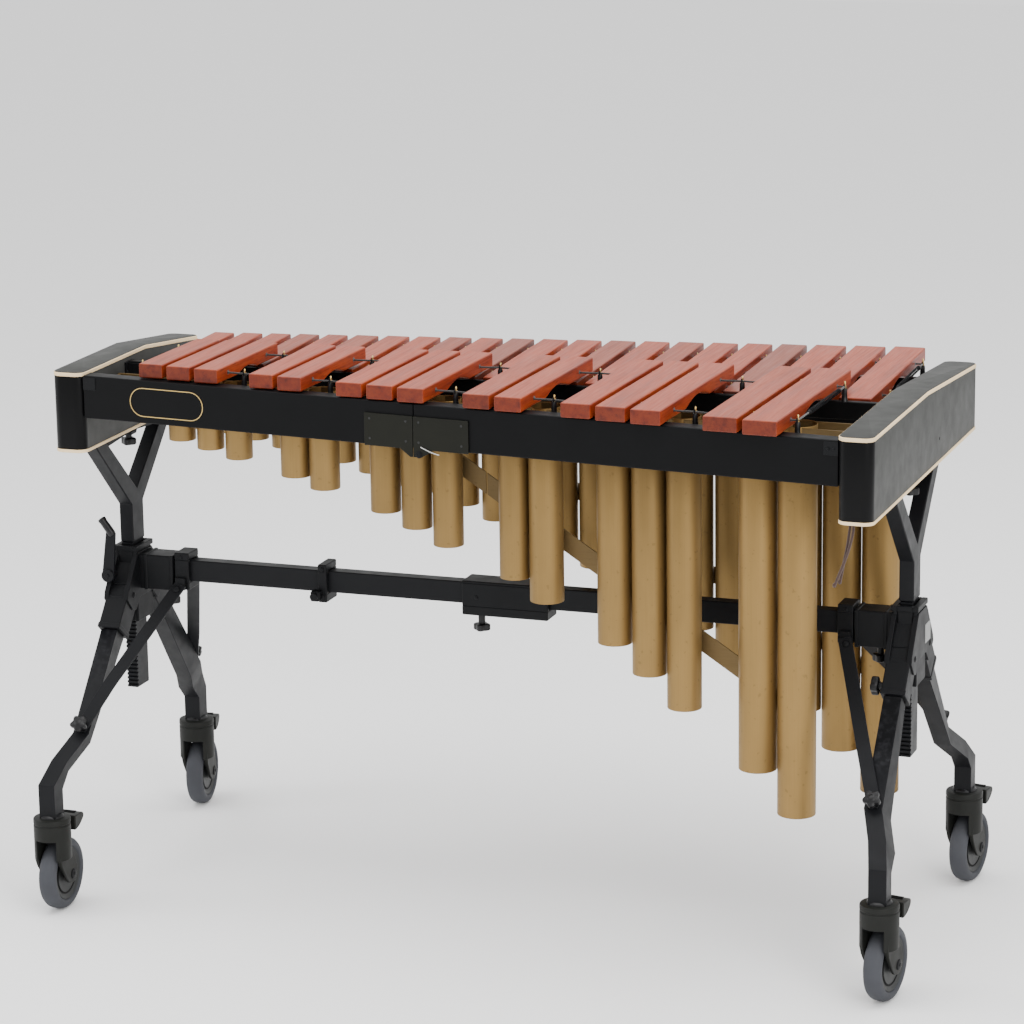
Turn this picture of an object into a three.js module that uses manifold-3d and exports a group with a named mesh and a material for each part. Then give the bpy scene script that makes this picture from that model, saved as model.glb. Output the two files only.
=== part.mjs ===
// A three-octave keyboard percussion instrument with wooden bars, C3 to C6, on a
// height-adjustable folding stand. Units are millimetres, +Z is up, +X runs towards the
// low notes and +Y towards the player. The origin is on the floor under the middle of
// the instrument's outline.
import * as THREE from "three";
import { mergeVertices } from "three/addons/utils/BufferGeometryUtils.js";
import Module from "manifold-3d";

const wasm = await Module();
wasm.setup();

// ---------------------------------------------------------------- driving dimensions
const GAP = 0.3; // clearance between pieces that touch
const STAND_Y = -21; // the stand's centre plane
const KEYS_Y = -61.6; // the plane that the keyboard's lines are measured from

// Bars. Both rows lie level; the accidentals' tops stand 32 mm over the naturals'.
const BAR_THICK = 24;
const NATURAL_TOP = 924;
const ACCIDENTAL_TOP = 956;
const NATURAL_GAP = 13;
const ACCIDENTAL_GAP = 10;
const NATURAL_WIDTHS = [...Array(5).fill(38), ...Array(6).fill(42), ...Array(8).fill(46), 54, 54, 54];
const ACCIDENTAL_WIDTHS = [...Array(5).fill(43), ...Array(5).fill(46), ...Array(3).fill(50), 56, 56];
const ACCIDENTAL_SHIFT = -15; // a group's middle, from the middle of the naturals it serves
const NATURAL_TILT = -0.03; // sideways run of a bar for each millimetre of its length
const ACCIDENTAL_TILT = 0.025;
const NODE_SHARE = 0.2; // a bar's cord hole lies this share of its length from its far end
const CORD = 3.4;

// Lines across the instrument in plan, each as y = at + slope * x from the keyboard's plane.
const line = (at, slope) => (x) => KEYS_Y + at + slope * x;
const FRONT_FACE = line(-250.7, -0.097);
const ACCIDENTAL_NEAR = line(-255.4, -0.1285);
const ACCIDENTAL_FAR = line(63.3, 0.045);
const ACCIDENTAL_NEAR_CORD = line(-198.7, -0.097);
const ACCIDENTAL_FAR_CORD = line(0, 0.01);
const NATURAL_NEAR = line(12, 0.01);
const NATURAL_FAR = line(351.7, 0.1633);
const NATURAL_NEAR_CORD = line(80, 0.04);
const NATURAL_FAR_CORD = line(283.8, 0.131);

// End blocks
const BLOCK_X = 697.5;
const BLOCK_THICK = 56;
const BLOCK_ROUND = 16;
const BLOCKS = {
  low: { near: -326, far: 396, kink: 34, bottom: 800, top: 939, farTop: 914 },
  high: { near: -190, far: 290, kink: 62, bottom: 796, top: 935, farTop: 909 },
};
const endOf = (side) => (side > 0 ? "low" : "high");

// Rails
const APRON_THICK = 30;
const APRON_BOTTOM = 857;
const APRON_TOP = 930;
const RAIL_SPLIT = -53.5;
const RAIL_THICK = 12;
const RAIL_DEEP = 30;
const RAIL_DROP = 11; // a rail's top lies this far under the bars it carries
const POST = 5;

// Resonators: stopped tubes a quarter wavelength long
const SOUND_SPEED = 343000;
const NATURAL_LENGTH = [1.0206, 14]; // share of a quarter wave, and the length added to it
const ACCIDENTAL_LENGTH = [1.038, 8];
const TUBE_WALL = 1.5;
const TUBE_SIDES = 14;
const TUBE_DROP = 24; // tube mouths lie this far under the bars
const BANK_PLATE = 3;
const BANK_PLATE_DEEP = 40;
const NATURAL_TUBES = [...Array(5).fill(44), ...Array(6).fill(49), ...Array(8).fill(56), 66, 66, 66];
const ACCIDENTAL_TUBES = [...Array(3).fill(46), ...Array(6).fill(51), ...Array(4).fill(57), 63, 63];

// Stand
const POST_WIDE = 25;
const POST_DEEP = 46;
const COLUMN_X = 697.5;
const HUB_WALL = 8;
const HUB_BOTTOM = 449;
const HUB_TOP = 585;
const SOCKET = { inner: 612, half: 24, bottom: 508, top: 570 };
const LEG_WIDE = 30;
const LEG_DEEP = 34;
const LEG_SOCKET_START = [11, 545];
const LEG_SOCKET_END = [94, 445];
const LEG_KNEES = [[222, 291], [270, 254], [300, 224], [300, 172]];
const LEG_SPLAY = 29;
const BAR_TALL = 38;
const BAR_DEEP = 26;
const BAR_Z = 544;

// Casters
const WHEEL_R = 62.5;
const WHEEL_HALF = 16;
const WHEEL_SIDES = 20;
const TRAIL = 26;
const SWIVEL = { low_near: -9, low_far: -9, high_near: 0, high_far: 8 }; // how far each is turned, in degrees
const HOOD_R = 32;
const HOOD_BOTTOM = 134;
const HOOD_SKIRT = 98;
const CHEEK = [17.5, 25];
const AXLE_R = 5;

// ---------------------------------------------------------------- materials and nodes
const LOOKS = {
  block: { color: 0x3a3b3d, roughness: 0.6, metalness: 0.0 },
  rail: { color: 0x18181a, roughness: 0.45, metalness: 0.0 },
  padouk: { color: 0xb0503a, roughness: 0.45, metalness: 0.0 },
  tube: { color: 0xa8854f, roughness: 0.4, metalness: 0.8 },
  steel: { color: 0x202123, roughness: 0.5, metalness: 0.4 },
  plastic: { color: 0x161618, roughness: 0.5, metalness: 0.0 },
  rubber: { color: 0x66686a, roughness: 0.7, metalness: 0.0 },
  cord: { color: 0x3a2018, roughness: 0.9, metalness: 0.0 },
};
const instrument = new THREE.Group();

function add(name, geometry, look) {
  const mesh = new THREE.Mesh(geometry, new THREE.MeshStandardMaterial(LOOKS[look]));
  mesh.name = name;
  instrument.add(mesh);
}

// ---------------------------------------------------------------- solids
function welded(geometry) {
  const plain = geometry.clone();
  plain.deleteAttribute("normal");
  plain.deleteAttribute("uv");
  return mergeVertices(plain, 1e-4);
}

function solid(geometry) {
  const mesh = welded(geometry);
  return new wasm.Manifold(new wasm.Mesh({
    numProp: 3,
    vertProperties: new Float32Array(mesh.attributes.position.array),
    triVerts: new Uint32Array(mesh.index.array),
  }));
}

function join(geometries) {
  let whole = solid(geometries[0]);
  for (const geometry of geometries.slice(1)) {
    whole = whole.add(solid(geometry));
  }
  return whole;
}

function shaped(manifold) {
  const mesh = manifold.getMesh();
  const geometry = new THREE.BufferGeometry();
  geometry.setAttribute("position", new THREE.BufferAttribute(mesh.vertProperties, 3));
  geometry.setIndex(new THREE.BufferAttribute(mesh.triVerts, 1));
  return geometry;
}

const union = (...geometries) => shaped(join(geometries));

function box([x0, x1], [y0, y1], [z0, z1]) {
  const geometry = new THREE.BoxGeometry(Math.abs(x1 - x0), Math.abs(y1 - y0), Math.abs(z1 - z0));
  return geometry.translate((x0 + x1) / 2, (y0 + y1) / 2, (z0 + z1) / 2);
}

function outline(points) {
  return new THREE.Shape(points.map(([a, b]) => new THREE.Vector2(a, b)));
}

// A plan outline raised from z0 to z1
function prism(points, [z0, z1]) {
  const geometry = new THREE.ExtrudeGeometry(outline(points), { depth: z1 - z0, bevelEnabled: false });
  return geometry.translate(0, 0, z0);
}

// A side outline of [y, z] points, running from x0 to x1
function slab(points, [x0, x1]) {
  const geometry = new THREE.ExtrudeGeometry(outline(points), { depth: x1 - x0, bevelEnabled: false });
  geometry.applyMatrix4(new THREE.Matrix4().set(0, 0, 1, 0, 1, 0, 0, 0, 0, 1, 0, 0, 0, 0, 0, 1));
  return geometry.translate(x0, 0, 0);
}

// A front outline of [x, z] points, thick in Y, that follows a line y(x)
function sheet(points, yOf, thick) {
  const geometry = new THREE.ExtrudeGeometry(outline(points), { depth: thick, bevelEnabled: false });
  geometry.rotateX(Math.PI / 2);
  const position = geometry.attributes.position;
  for (let i = 0; i < position.count; i += 1) {
    position.setY(i, position.getY(i) + thick + yOf(position.getX(i)));
  }
  return geometry;
}

function cylinder(radius, [z0, z1], [x, y], sides) {
  const geometry = new THREE.CylinderGeometry(radius, radius, z1 - z0, sides);
  return geometry.rotateX(Math.PI / 2).translate(x, y, (z0 + z1) / 2);
}

// A bar of rectangular section from a to b; `normal` is the way its thickness runs
function beam(a, b, wide, thick, normal) {
  const along = new THREE.Vector3().subVectors(b, a);
  const geometry = new THREE.BoxGeometry(wide, thick, along.length());
  const z = along.clone().normalize();
  const y = normal.clone().addScaledVector(z, -normal.dot(z)).normalize();
  const x = new THREE.Vector3().crossVectors(y, z);
  const turn = new THREE.Matrix4().makeBasis(x, y, z);
  const middle = new THREE.Vector3().addVectors(a, b).multiplyScalar(0.5);
  return geometry.applyMatrix4(turn).translate(middle.x, middle.y, middle.z);
}

// A band of even width along a bent line, mitred at the bends
function band(points, half) {
  const way = (a, b) => new THREE.Vector2(b[0] - a[0], b[1] - a[1]).normalize();
  const sides = [[], []];
  points.forEach((point, i) => {
    const before = i > 0 ? way(points[i - 1], point) : way(point, points[1]);
    const after = i < points.length - 1 ? way(point, points[i + 1]) : before;
    const across = new THREE.Vector2(-before.y - after.y, before.x + after.x).normalize();
    const reach = half / (across.x * -before.y + across.y * before.x);
    sides[0].push([point[0] + across.x * reach, point[1] + across.y * reach]);
    sides[1].unshift([point[0] - across.x * reach, point[1] - across.y * reach]);
  });
  return [...sides[0], ...sides[1]];
}

const vector = (x, y, z) => new THREE.Vector3(x, y, z);
const UP = vector(0, 0, 1);

// ---------------------------------------------------------------- keyboard layout
// Bars are listed from the highest note, at -X, to the lowest.
function naturalLayout() {
  const total = NATURAL_WIDTHS.reduce((sum, wide) => sum + wide + NATURAL_GAP, -NATURAL_GAP);
  let edge = -total / 2;
  return NATURAL_WIDTHS.map((wide, i) => {
    const x = edge + wide / 2;
    edge += wide + NATURAL_GAP;
    const far = NATURAL_FAR(x);
    const near = NATURAL_NEAR(x);
    const at = (y) => x + NATURAL_TILT * (y - far);
    return { wide, near, far, tilt: NATURAL_TILT, at, tube: NATURAL_TUBES[i] };
  });
}

// Each group of accidentals serves the naturals from `first` to `first + count`
const ACCIDENTAL_GROUPS = [[1, 3], [5, 2], [8, 3], [12, 2], [15, 3], [19, 2]];

function accidentalLayout(naturals) {
  const bars = [];
  for (const [first, count] of ACCIDENTAL_GROUPS) {
    const served = naturals.slice(first, first + count + 1);
    const middle = served.reduce((sum, bar) => sum + bar.at(bar.far), 0) / served.length + ACCIDENTAL_SHIFT;
    const pitch = ACCIDENTAL_WIDTHS[bars.length] + ACCIDENTAL_GAP;
    for (let k = 0; k < count; k += 1) {
      const i = bars.length;
      const x = middle + (k - (count - 1) / 2) * pitch;
      const near = ACCIDENTAL_NEAR(x);
      bars.push({
        wide: ACCIDENTAL_WIDTHS[i],
        near,
        far: ACCIDENTAL_FAR(x),
        tilt: ACCIDENTAL_TILT,
        at: (y) => x + ACCIDENTAL_TILT * (y - near),
        tube: ACCIDENTAL_TUBES[i],
      });
    }
  }
  return bars;
}

const NATURALS = naturalLayout();
const ACCIDENTALS = accidentalLayout(NATURALS);
const C3_HERTZ = 130.81;
const semitone = (steps) => C3_HERTZ * 2 ** (steps / 12);
const NATURAL_STEPS = [36, 35, 33, 31, 29, 28, 26, 24, 23, 21, 19, 17, 16, 14, 12, 11, 9, 7, 5, 4, 2, 0];
const ACCIDENTAL_STEPS = [34, 32, 30, 27, 25, 22, 20, 18, 15, 13, 10, 8, 6, 3, 1];

// ---------------------------------------------------------------- bars
// The underside is carved into an arch between the two cord holes.
function barProfile(length, top, index, count) {
  const bottom = top - BAR_THICK;
  const depth = THREE.MathUtils.lerp(7, 13, index / (count - 1));
  const arch = [1, 2, 3, 4, 5].map((k) => [
    (0.27 + 0.46 * k / 6) * length,
    bottom + depth * Math.sin(Math.PI * k / 6),
  ]);
  return [[0, bottom], [0.27 * length, bottom], ...arch, [0.73 * length, bottom],
    [length, bottom], [length, top], [0, top]];
}

function barSolid(bar, top, index, count) {
  const length = bar.far - bar.near;
  const geometry = slab(barProfile(length, top, index, count), [-bar.wide / 2, bar.wide / 2]);
  geometry.rotateZ(-Math.atan(bar.tilt));
  return geometry.translate(bar.at(bar.near), bar.near, 0);
}

// Bars strung side by side on their two cords make one solid
function strungBars(name, bars, from, to, top, cordLines, reach) {
  const strung = bars.slice(from, to).map((bar, k) => barSolid(bar, top, from + k, bars.length));
  const z = top - BAR_THICK / 2;
  for (const yOf of cordLines) {
    strung.push(beam(vector(reach[0], yOf(reach[0]), z), vector(reach[1], yOf(reach[1]), z), CORD, CORD, UP));
  }
  add(name, union(...strung), "padouk");
}

// Middle of the gap between two neighbouring bars, at the height y of a cord
function between(bars, i, yOf) {
  const x = (bars[i].at(0) + bars[i + 1].at(0)) / 2;
  return (bars[i].at(yOf(x)) + bars[i].wide / 2 + bars[i + 1].at(yOf(x)) - bars[i + 1].wide / 2) / 2;
}

const NATURAL_SPLIT = 11;
const ACCIDENTAL_SPLIT = 8;
const CORD_END = 640;
const naturalCords = [NATURAL_NEAR_CORD, NATURAL_FAR_CORD];
const accidentalCords = [ACCIDENTAL_NEAR_CORD, ACCIDENTAL_FAR_CORD];
const naturalMiddle = between(NATURALS, NATURAL_SPLIT - 1, NATURAL_FAR_CORD);
const accidentalMiddle = between(ACCIDENTALS, ACCIDENTAL_SPLIT - 1, ACCIDENTAL_FAR_CORD);
const HIGH_NATURAL_END = NATURALS[0].at(0) - NATURALS[0].wide / 2 - 9;
const HIGH_ACCIDENTAL_END = ACCIDENTALS[0].at(0) - ACCIDENTALS[0].wide / 2 - 12;
const LOW_NATURAL_END = NATURALS[21].at(NATURALS[21].near) + NATURALS[21].wide / 2 + 9;
const LOW_ACCIDENTAL_END = ACCIDENTALS[14].at(ACCIDENTALS[14].far) + ACCIDENTALS[14].wide / 2 + 9;

strungBars("bars_natural_high", NATURALS, 0, NATURAL_SPLIT, NATURAL_TOP, naturalCords,
  [HIGH_NATURAL_END, naturalMiddle - GAP]);
strungBars("bars_natural_low", NATURALS, NATURAL_SPLIT, NATURALS.length, NATURAL_TOP, naturalCords,
  [naturalMiddle + GAP, LOW_NATURAL_END]);
strungBars("bars_accidental_high", ACCIDENTALS, 0, ACCIDENTAL_SPLIT, ACCIDENTAL_TOP, accidentalCords,
  [HIGH_ACCIDENTAL_END, accidentalMiddle - GAP]);
strungBars("bars_accidental_low", ACCIDENTALS, ACCIDENTAL_SPLIT, ACCIDENTALS.length, ACCIDENTAL_TOP,
  accidentalCords, [accidentalMiddle + GAP, LOW_ACCIDENTAL_END]);

// ---------------------------------------------------------------- end blocks
function endBlock(side, { near, far, kink, bottom, top, farTop }) {
  const [y0, y1] = [KEYS_Y + near, KEYS_Y + far];
  const x0 = side * BLOCK_X - BLOCK_THICK / 2;
  const corners = [[x0, y0, Math.PI], [x0 + BLOCK_THICK, y0, -Math.PI / 2],
    [x0 + BLOCK_THICK, y1, 0], [x0, y1, Math.PI / 2]];
  const plan = [];
  for (const [x, y, start] of corners) {
    const cx = x === x0 ? x + BLOCK_ROUND : x - BLOCK_ROUND;
    const cy = y === y0 ? y + BLOCK_ROUND : y - BLOCK_ROUND;
    for (let k = 0; k <= 5; k += 1) {
      const angle = start + (k / 5) * Math.PI / 2;
      plan.push([cx + BLOCK_ROUND * Math.cos(angle), cy + BLOCK_ROUND * Math.sin(angle)]);
    }
  }
  const profile = [[y0 - 1, bottom], [y1 + 1, bottom], [y1 + 1, farTop], [KEYS_Y + kink, top], [y0 - 1, top]];
  const body = solid(prism(plan, [bottom - 1, top + 1]));
  return shaped(body.intersect(solid(slab(profile, [x0 - 1, x0 + BLOCK_THICK + 1]))));
}

add("end_block_low", endBlock(1, BLOCKS.low), "block");
add("end_block_high", endBlock(-1, BLOCKS.high), "block");

// ---------------------------------------------------------------- rails
const RAIL_END = BLOCK_X - BLOCK_THICK / 2 - GAP;

function strip(yOf, thick, [x0, x1], zs) {
  return prism([[x0, yOf(x0)], [x1, yOf(x1)], [x1, yOf(x1) + thick], [x0, yOf(x0) + thick]], zs);
}

// Posts that hold the cord between neighbouring bars, from `first` to `last`
function posts(bars, yOf, [z0, z1], first, last) {
  const made = [];
  for (let i = first; i < last; i += 1) {
    const x = between(bars, i, yOf);
    made.push(box([x - POST / 2, x + POST / 2], [yOf(x) - POST / 2, yOf(x) + POST / 2], [z0, z1]));
  }
  return made;
}

const postTop = (barTop) => barTop - BAR_THICK / 2 - CORD / 2 - 0.6;

// The front rail is an apron with a ledge behind it that carries the near cord's posts.
const LEDGE_DEEP = 28;
const LEDGE = [907, 919];

function frontRail(name, [x0, x1], first, last) {
  const ledgeLine = (x) => FRONT_FACE(x) + APRON_THICK - 2;
  add(name, union(
    strip(FRONT_FACE, APRON_THICK, [x0, x1], [APRON_BOTTOM, APRON_TOP]),
    strip(ledgeLine, LEDGE_DEEP, [x0, x1], LEDGE),
    ...posts(ACCIDENTALS, ACCIDENTAL_NEAR_CORD, [LEDGE[1] - 1, postTop(ACCIDENTAL_TOP)], first, last),
  ), "rail");
}

frontRail("front_rail_high", [-RAIL_END, RAIL_SPLIT - GAP], 0, 7);
frontRail("front_rail_low", [RAIL_SPLIT + GAP, RAIL_END], 7, 14);

function innerRail(name, bars, yOf, barTop) {
  const top = barTop - BAR_THICK - RAIL_DROP;
  const nearFace = (x) => yOf(x) - RAIL_THICK / 2;
  add(name, union(
    strip(nearFace, RAIL_THICK, [-RAIL_END, RAIL_END], [top - RAIL_DEEP, top]),
    ...posts(bars, yOf, [top - 1, postTop(barTop)], 0, bars.length - 1),
  ), "rail");
}

innerRail("accidental_rail", ACCIDENTALS, ACCIDENTAL_FAR_CORD, ACCIDENTAL_TOP);
innerRail("natural_near_rail", NATURALS, NATURAL_NEAR_CORD, NATURAL_TOP);
innerRail("natural_far_rail", NATURALS, NATURAL_FAR_CORD, NATURAL_TOP);

// ---------------------------------------------------------------- hinge of the front rail
const LEAF = [APRON_BOTTOM - 1, 910];
const LEAF_THICK = 3;
const PIN_R = 6;
const leafLine = (x) => FRONT_FACE(x) - LEAF_THICK - GAP;
const KNUCKLE = LEAF[0] - 13; // the two leaves make one blunt V below the rail
const leafHigh = [[-141, LEAF[0]], [-77, LEAF[0]], [-59, KNUCKLE], [-54, KNUCKLE], [-54, LEAF[1]],
  [-141, LEAF[1]]];
const leafLow = [[-53, KNUCKLE], [-39, KNUCKLE], [-18, LEAF[0]], [45, LEAF[0]], [45, LEAF[1]],
  [-53, LEAF[1]]];
const pinY = leafLine(-43);
const barrel = cylinder(PIN_R, [0, 26], [0, 0], 12).rotateX(-Math.PI / 2)
  .translate(-43, pinY - 1.5, LEAF[0] - 8);
add("hinge_leaf_high", sheet(leafHigh, leafLine, LEAF_THICK), "steel");
add("hinge_leaf_low", union(sheet(leafLow, leafLine, LEAF_THICK), barrel), "steel");

// ---------------------------------------------------------------- resonators
function tubeLength(hertz, [stretch, extra]) {
  return stretch * SOUND_SPEED / (4 * hertz) + extra;
}

// A bank of tubes hangs between two side plates; a slanting strip ties their lower ends.
function resonatorBank(name, bars, steps, top, from, to, [x0, x1], slant) {
  const middle = (bar) => (bar.near + bar.far) / 2;
  const first = bars[0];
  const last = bars[bars.length - 1];
  const slope = (middle(last) - middle(first)) / (last.at(middle(last)) - first.at(middle(first)));
  const centre = (x) => middle(first) + slope * (x - first.at(middle(first)));
  const spread = (x) => 0.8 * THREE.MathUtils.mapLinear(x, -600, 600, bars[0].tube, last.tube) / 2;
  const outer = [];
  const bores = [];
  for (let i = from; i < to; i += 1) {
    const place = [bars[i].at(middle(bars[i])), middle(bars[i])];
    const share = bars === NATURALS ? NATURAL_LENGTH : ACCIDENTAL_LENGTH;
    const bottom = top - tubeLength(semitone(steps[i]), share);
    outer.push(cylinder(bars[i].tube / 2, [bottom, top], place, TUBE_SIDES));
    bores.push(cylinder(bars[i].tube / 2 - TUBE_WALL, [bottom + 4, top + 5], place, TUBE_SIDES));
  }
  const plate = [[x0, top - BANK_PLATE_DEEP], [x1, top - BANK_PLATE_DEEP], [x1, top - 1], [x0, top - 1]];
  outer.push(sheet(plate, (x) => centre(x) - spread(x) - BANK_PLATE, BANK_PLATE));
  outer.push(sheet(plate, (x) => centre(x) + spread(x), BANK_PLATE));
  const brace = slant.map(([x, z]) => [x, z]);
  outer.push(sheet(brace, (x) => centre(x) + spread(x), BANK_PLATE));
  add(name, shaped(join(outer).subtract(join(bores))), "tube");
}

const BANK_END = RAIL_END - 0.4;
const slantStrip = (from, to, height, deep, slope) => [
  [from, height + slope * from - deep], [to, height + slope * to - deep],
  [to, height + slope * to], [from, height + slope * from]];
const accidentalSplit = (ACCIDENTALS[7].at(KEYS_Y) + ACCIDENTALS[8].at(KEYS_Y)) / 2;
const naturalSplit = (NATURALS[10].at(KEYS_Y + 170) + NATURALS[11].at(KEYS_Y + 170)) / 2;

resonatorBank("resonators_accidental_high", ACCIDENTALS, ACCIDENTAL_STEPS, ACCIDENTAL_TOP - BAR_THICK - TUBE_DROP,
  0, 8, [-BANK_END, accidentalSplit - 1], slantStrip(-170, accidentalSplit - 1, 787, 37, -0.63));
resonatorBank("resonators_accidental_low", ACCIDENTALS, ACCIDENTAL_STEPS, ACCIDENTAL_TOP - BAR_THICK - TUBE_DROP,
  8, 15, [accidentalSplit + 1, BANK_END], slantStrip(accidentalSplit + 1, 560, 787, 37, -0.63));
resonatorBank("resonators_natural_high", NATURALS, NATURAL_STEPS, NATURAL_TOP - BAR_THICK - TUBE_DROP,
  0, 11, [-BANK_END, naturalSplit - 1], slantStrip(-190, naturalSplit - 1, 744, 30, -0.577));
resonatorBank("resonators_natural_low", NATURALS, NATURAL_STEPS, NATURAL_TOP - BAR_THICK - TUBE_DROP,
  11, 22, [naturalSplit + 1, BANK_END], slantStrip(naturalSplit + 1, 610, 744, 30, -0.577));

// ---------------------------------------------------------------- Y columns
const COLUMN_FOOT = 326;
const ARM_KNEE = 658;
const CROTCH = 684;
const ARM_OUT = 153;
const ARM_IN = 119;

function column(side) {
  const half = POST_DEEP / 2;
  const top = BLOCKS[endOf(side)].bottom - GAP;
  const right = [[half, COLUMN_FOOT], [half, ARM_KNEE], [ARM_OUT, top - 8], [ARM_OUT, top], [ARM_IN, top]];
  const left = right.map(([y, z]) => [-y, z]).reverse();
  const points = [...right, [0, CROTCH], ...left].map(([y, z]) => [y + STAND_Y, z]);
  const x = side * COLUMN_X;
  return slab(points, [x - POST_WIDE / 2, x + POST_WIDE / 2]);
}

add("y_column_low", column(1), "steel");
add("y_column_high", column(-1), "steel");

// ---------------------------------------------------------------- hubs
function hub(side) {
  const x = side * COLUMN_X;
  const halfX = POST_WIDE / 2 + HUB_WALL;
  const halfY = POST_DEEP / 2 + HUB_WALL;
  const parts = [
    box([x - halfX, x + halfX], [STAND_Y - halfY, STAND_Y + halfY], [HUB_BOTTOM, HUB_TOP]),
    box([side * SOCKET.inner, side * (COLUMN_X - halfX + 2)],
      [STAND_Y - SOCKET.half, STAND_Y + SOCKET.half], [SOCKET.bottom, SOCKET.top]),
  ];
  for (const way of [-1, 1]) {
    const from = vector(x, STAND_Y + way * LEG_SOCKET_START[0], LEG_SOCKET_START[1]);
    const to = vector(x, STAND_Y + way * LEG_SOCKET_END[0], LEG_SOCKET_END[1]);
    parts.push(beam(from, to, LEG_DEEP + 10, LEG_WIDE + 10, vector(1, 0, 0)));
  }
  const slotX = POST_WIDE / 2 + 0.6;
  const slotY = POST_DEEP / 2 + 0.6;
  const bore = box([x - slotX, x + slotX], [STAND_Y - slotY, STAND_Y + slotY], [HUB_BOTTOM - 60, HUB_TOP + 20]);
  return shaped(join(parts).subtract(solid(bore)));
}

add("hub_low", hub(1), "steel");
add("hub_high", hub(-1), "steel");

// ---------------------------------------------------------------- legs
function leg(side, way) {
  const [sy, sz] = LEG_SOCKET_END;
  const toKnee = new THREE.Vector2(LEG_KNEES[0][0] - sy, LEG_KNEES[0][1] - sz).normalize();
  const slant = new THREE.Vector2(sy - LEG_SOCKET_START[0], sz - LEG_SOCKET_START[1]).normalize();
  const start = [sy + slant.x * (GAP + 1), sz + slant.y * (GAP + 1)];
  const bend = [start[0] + toKnee.x, start[1] + toKnee.y];
  const path = [start, bend, ...LEG_KNEES];
  const points = band(path, LEG_DEEP / 2).map(([y, z]) => [STAND_Y + way * y, z]);
  const geometry = slab(points, [-LEG_WIDE / 2, LEG_WIDE / 2]);
  const position = geometry.attributes.position;
  const [upper, lower] = [LEG_KNEES[0][1], LEG_KNEES[1][1]];
  for (let i = 0; i < position.count; i += 1) {
    const share = THREE.MathUtils.clamp((upper - position.getZ(i)) / (upper - lower), 0, 1);
    position.setX(i, position.getX(i) + side * (COLUMN_X + LEG_SPLAY * share));
  }
  return geometry;
}

// ---------------------------------------------------------------- crossbar and braces
const COLLAR = { inner: 582, wide: 27, half: 22, bottom: 511, top: 577 };
const COUPLER = [-74, 80];
const SPARE = [-338, -322];
const BAR_MIDDLE = 2;
const barFit = 0.4;

function crossbar(name, xs) {
  add(name, box(xs, [STAND_Y - BAR_DEEP / 2, STAND_Y + BAR_DEEP / 2],
    [BAR_Z - BAR_TALL / 2, BAR_Z + BAR_TALL / 2]), "steel");
}

function sleeve([x0, x1], half, [z0, z1]) {
  const outer = solid(box([x0, x1], [STAND_Y - half, STAND_Y + half], [z0, z1]));
  const inner = box([x0 - 1, x1 + 1],
    [STAND_Y - BAR_DEEP / 2 - barFit, STAND_Y + BAR_DEEP / 2 + barFit],
    [BAR_Z - BAR_TALL / 2 - barFit, BAR_Z + BAR_TALL / 2 + barFit]);
  return outer.subtract(solid(inner));
}

crossbar("crossbar_high", [-SOCKET.inner + GAP, BAR_MIDDLE - GAP]);
crossbar("crossbar_low", [BAR_MIDDLE + GAP, SOCKET.inner - GAP]);
add("crossbar_coupler", shaped(sleeve(COUPLER, 24, [508, 568])), "steel");
const spareWing = box([-346, -331], [STAND_Y - 40, STAND_Y - 20], [514, 532]);
add("spare_collar", shaped(sleeve(SPARE, 24, [509, 576]).add(solid(spareWing))), "steel");

const legNormal = new THREE.Vector2(LEG_KNEES[0][1] - LEG_SOCKET_END[1], LEG_SOCKET_END[0] - LEG_KNEES[0][0])
  .normalize().multiplyScalar(-1);
const BRACE_WIDE = 23;
const BRACE_THICK = 4;
const BRACE_TOP = [596, 27, 522];
const BRACE_BEND = 669; // beyond this X the brace lies flat on the leg's upper face
const BRACE_FOOT = 12; // distance of its knob up the leg from the knee
const BRACE_LAP = 9; // length of the brace's end past its knob

// A point on the leg's upper face near its knee, `lift` clear of the face and `back` up the leg
function kneePoint(side, way, lift, back) {
  const knee = LEG_KNEES[0];
  const up = new THREE.Vector2(LEG_SOCKET_END[0] - knee[0], LEG_SOCKET_END[1] - knee[1]).normalize();
  const reach = LEG_DEEP / 2 + lift;
  const y = knee[0] + up.x * back + legNormal.x * reach;
  const z = knee[1] + up.y * back + legNormal.y * reach;
  return vector(side * COLUMN_X, STAND_Y + way * y, z);
}

function brace(side, way) {
  const lift = GAP + BRACE_THICK / 2;
  const top = vector(side * BRACE_TOP[0], STAND_Y + way * BRACE_TOP[1], BRACE_TOP[2]);
  const foot = kneePoint(side, way, lift, BRACE_FOOT);
  const bend = kneePoint(side, way, lift, BRACE_FOOT + 82).setX(side * BRACE_BEND);
  const normal = vector(0, way * legNormal.x, legNormal.y);
  const past = kneePoint(side, way, lift, BRACE_FOOT - BRACE_LAP);
  return union(
    beam(top, bend, BRACE_WIDE, BRACE_THICK, normal),
    beam(bend, foot, BRACE_WIDE, BRACE_THICK, normal),
    beam(foot, past, BRACE_WIDE, BRACE_THICK, normal),
  );
}

// A five-lobed knob on a short stem; it is made on the Z axis and turned to `axis`
function knob(radius, tall, stem, foot, axis) {
  const points = [];
  for (let k = 0; k < 10; k += 1) {
    const r = k % 2 ? 0.74 * radius : radius;
    points.push([r * Math.cos(k * Math.PI / 5), r * Math.sin(k * Math.PI / 5)]);
  }
  const head = prism(points, [stem, stem + tall]);
  const shank = cylinder(radius * 0.4, [0, stem + 1], [0, 0], 8);
  const turn = new THREE.Quaternion().setFromUnitVectors(UP, axis.clone().normalize());
  const geometry = union(head, shank);
  return geometry.applyQuaternion(turn).translate(foot.x, foot.y, foot.z);
}

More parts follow.
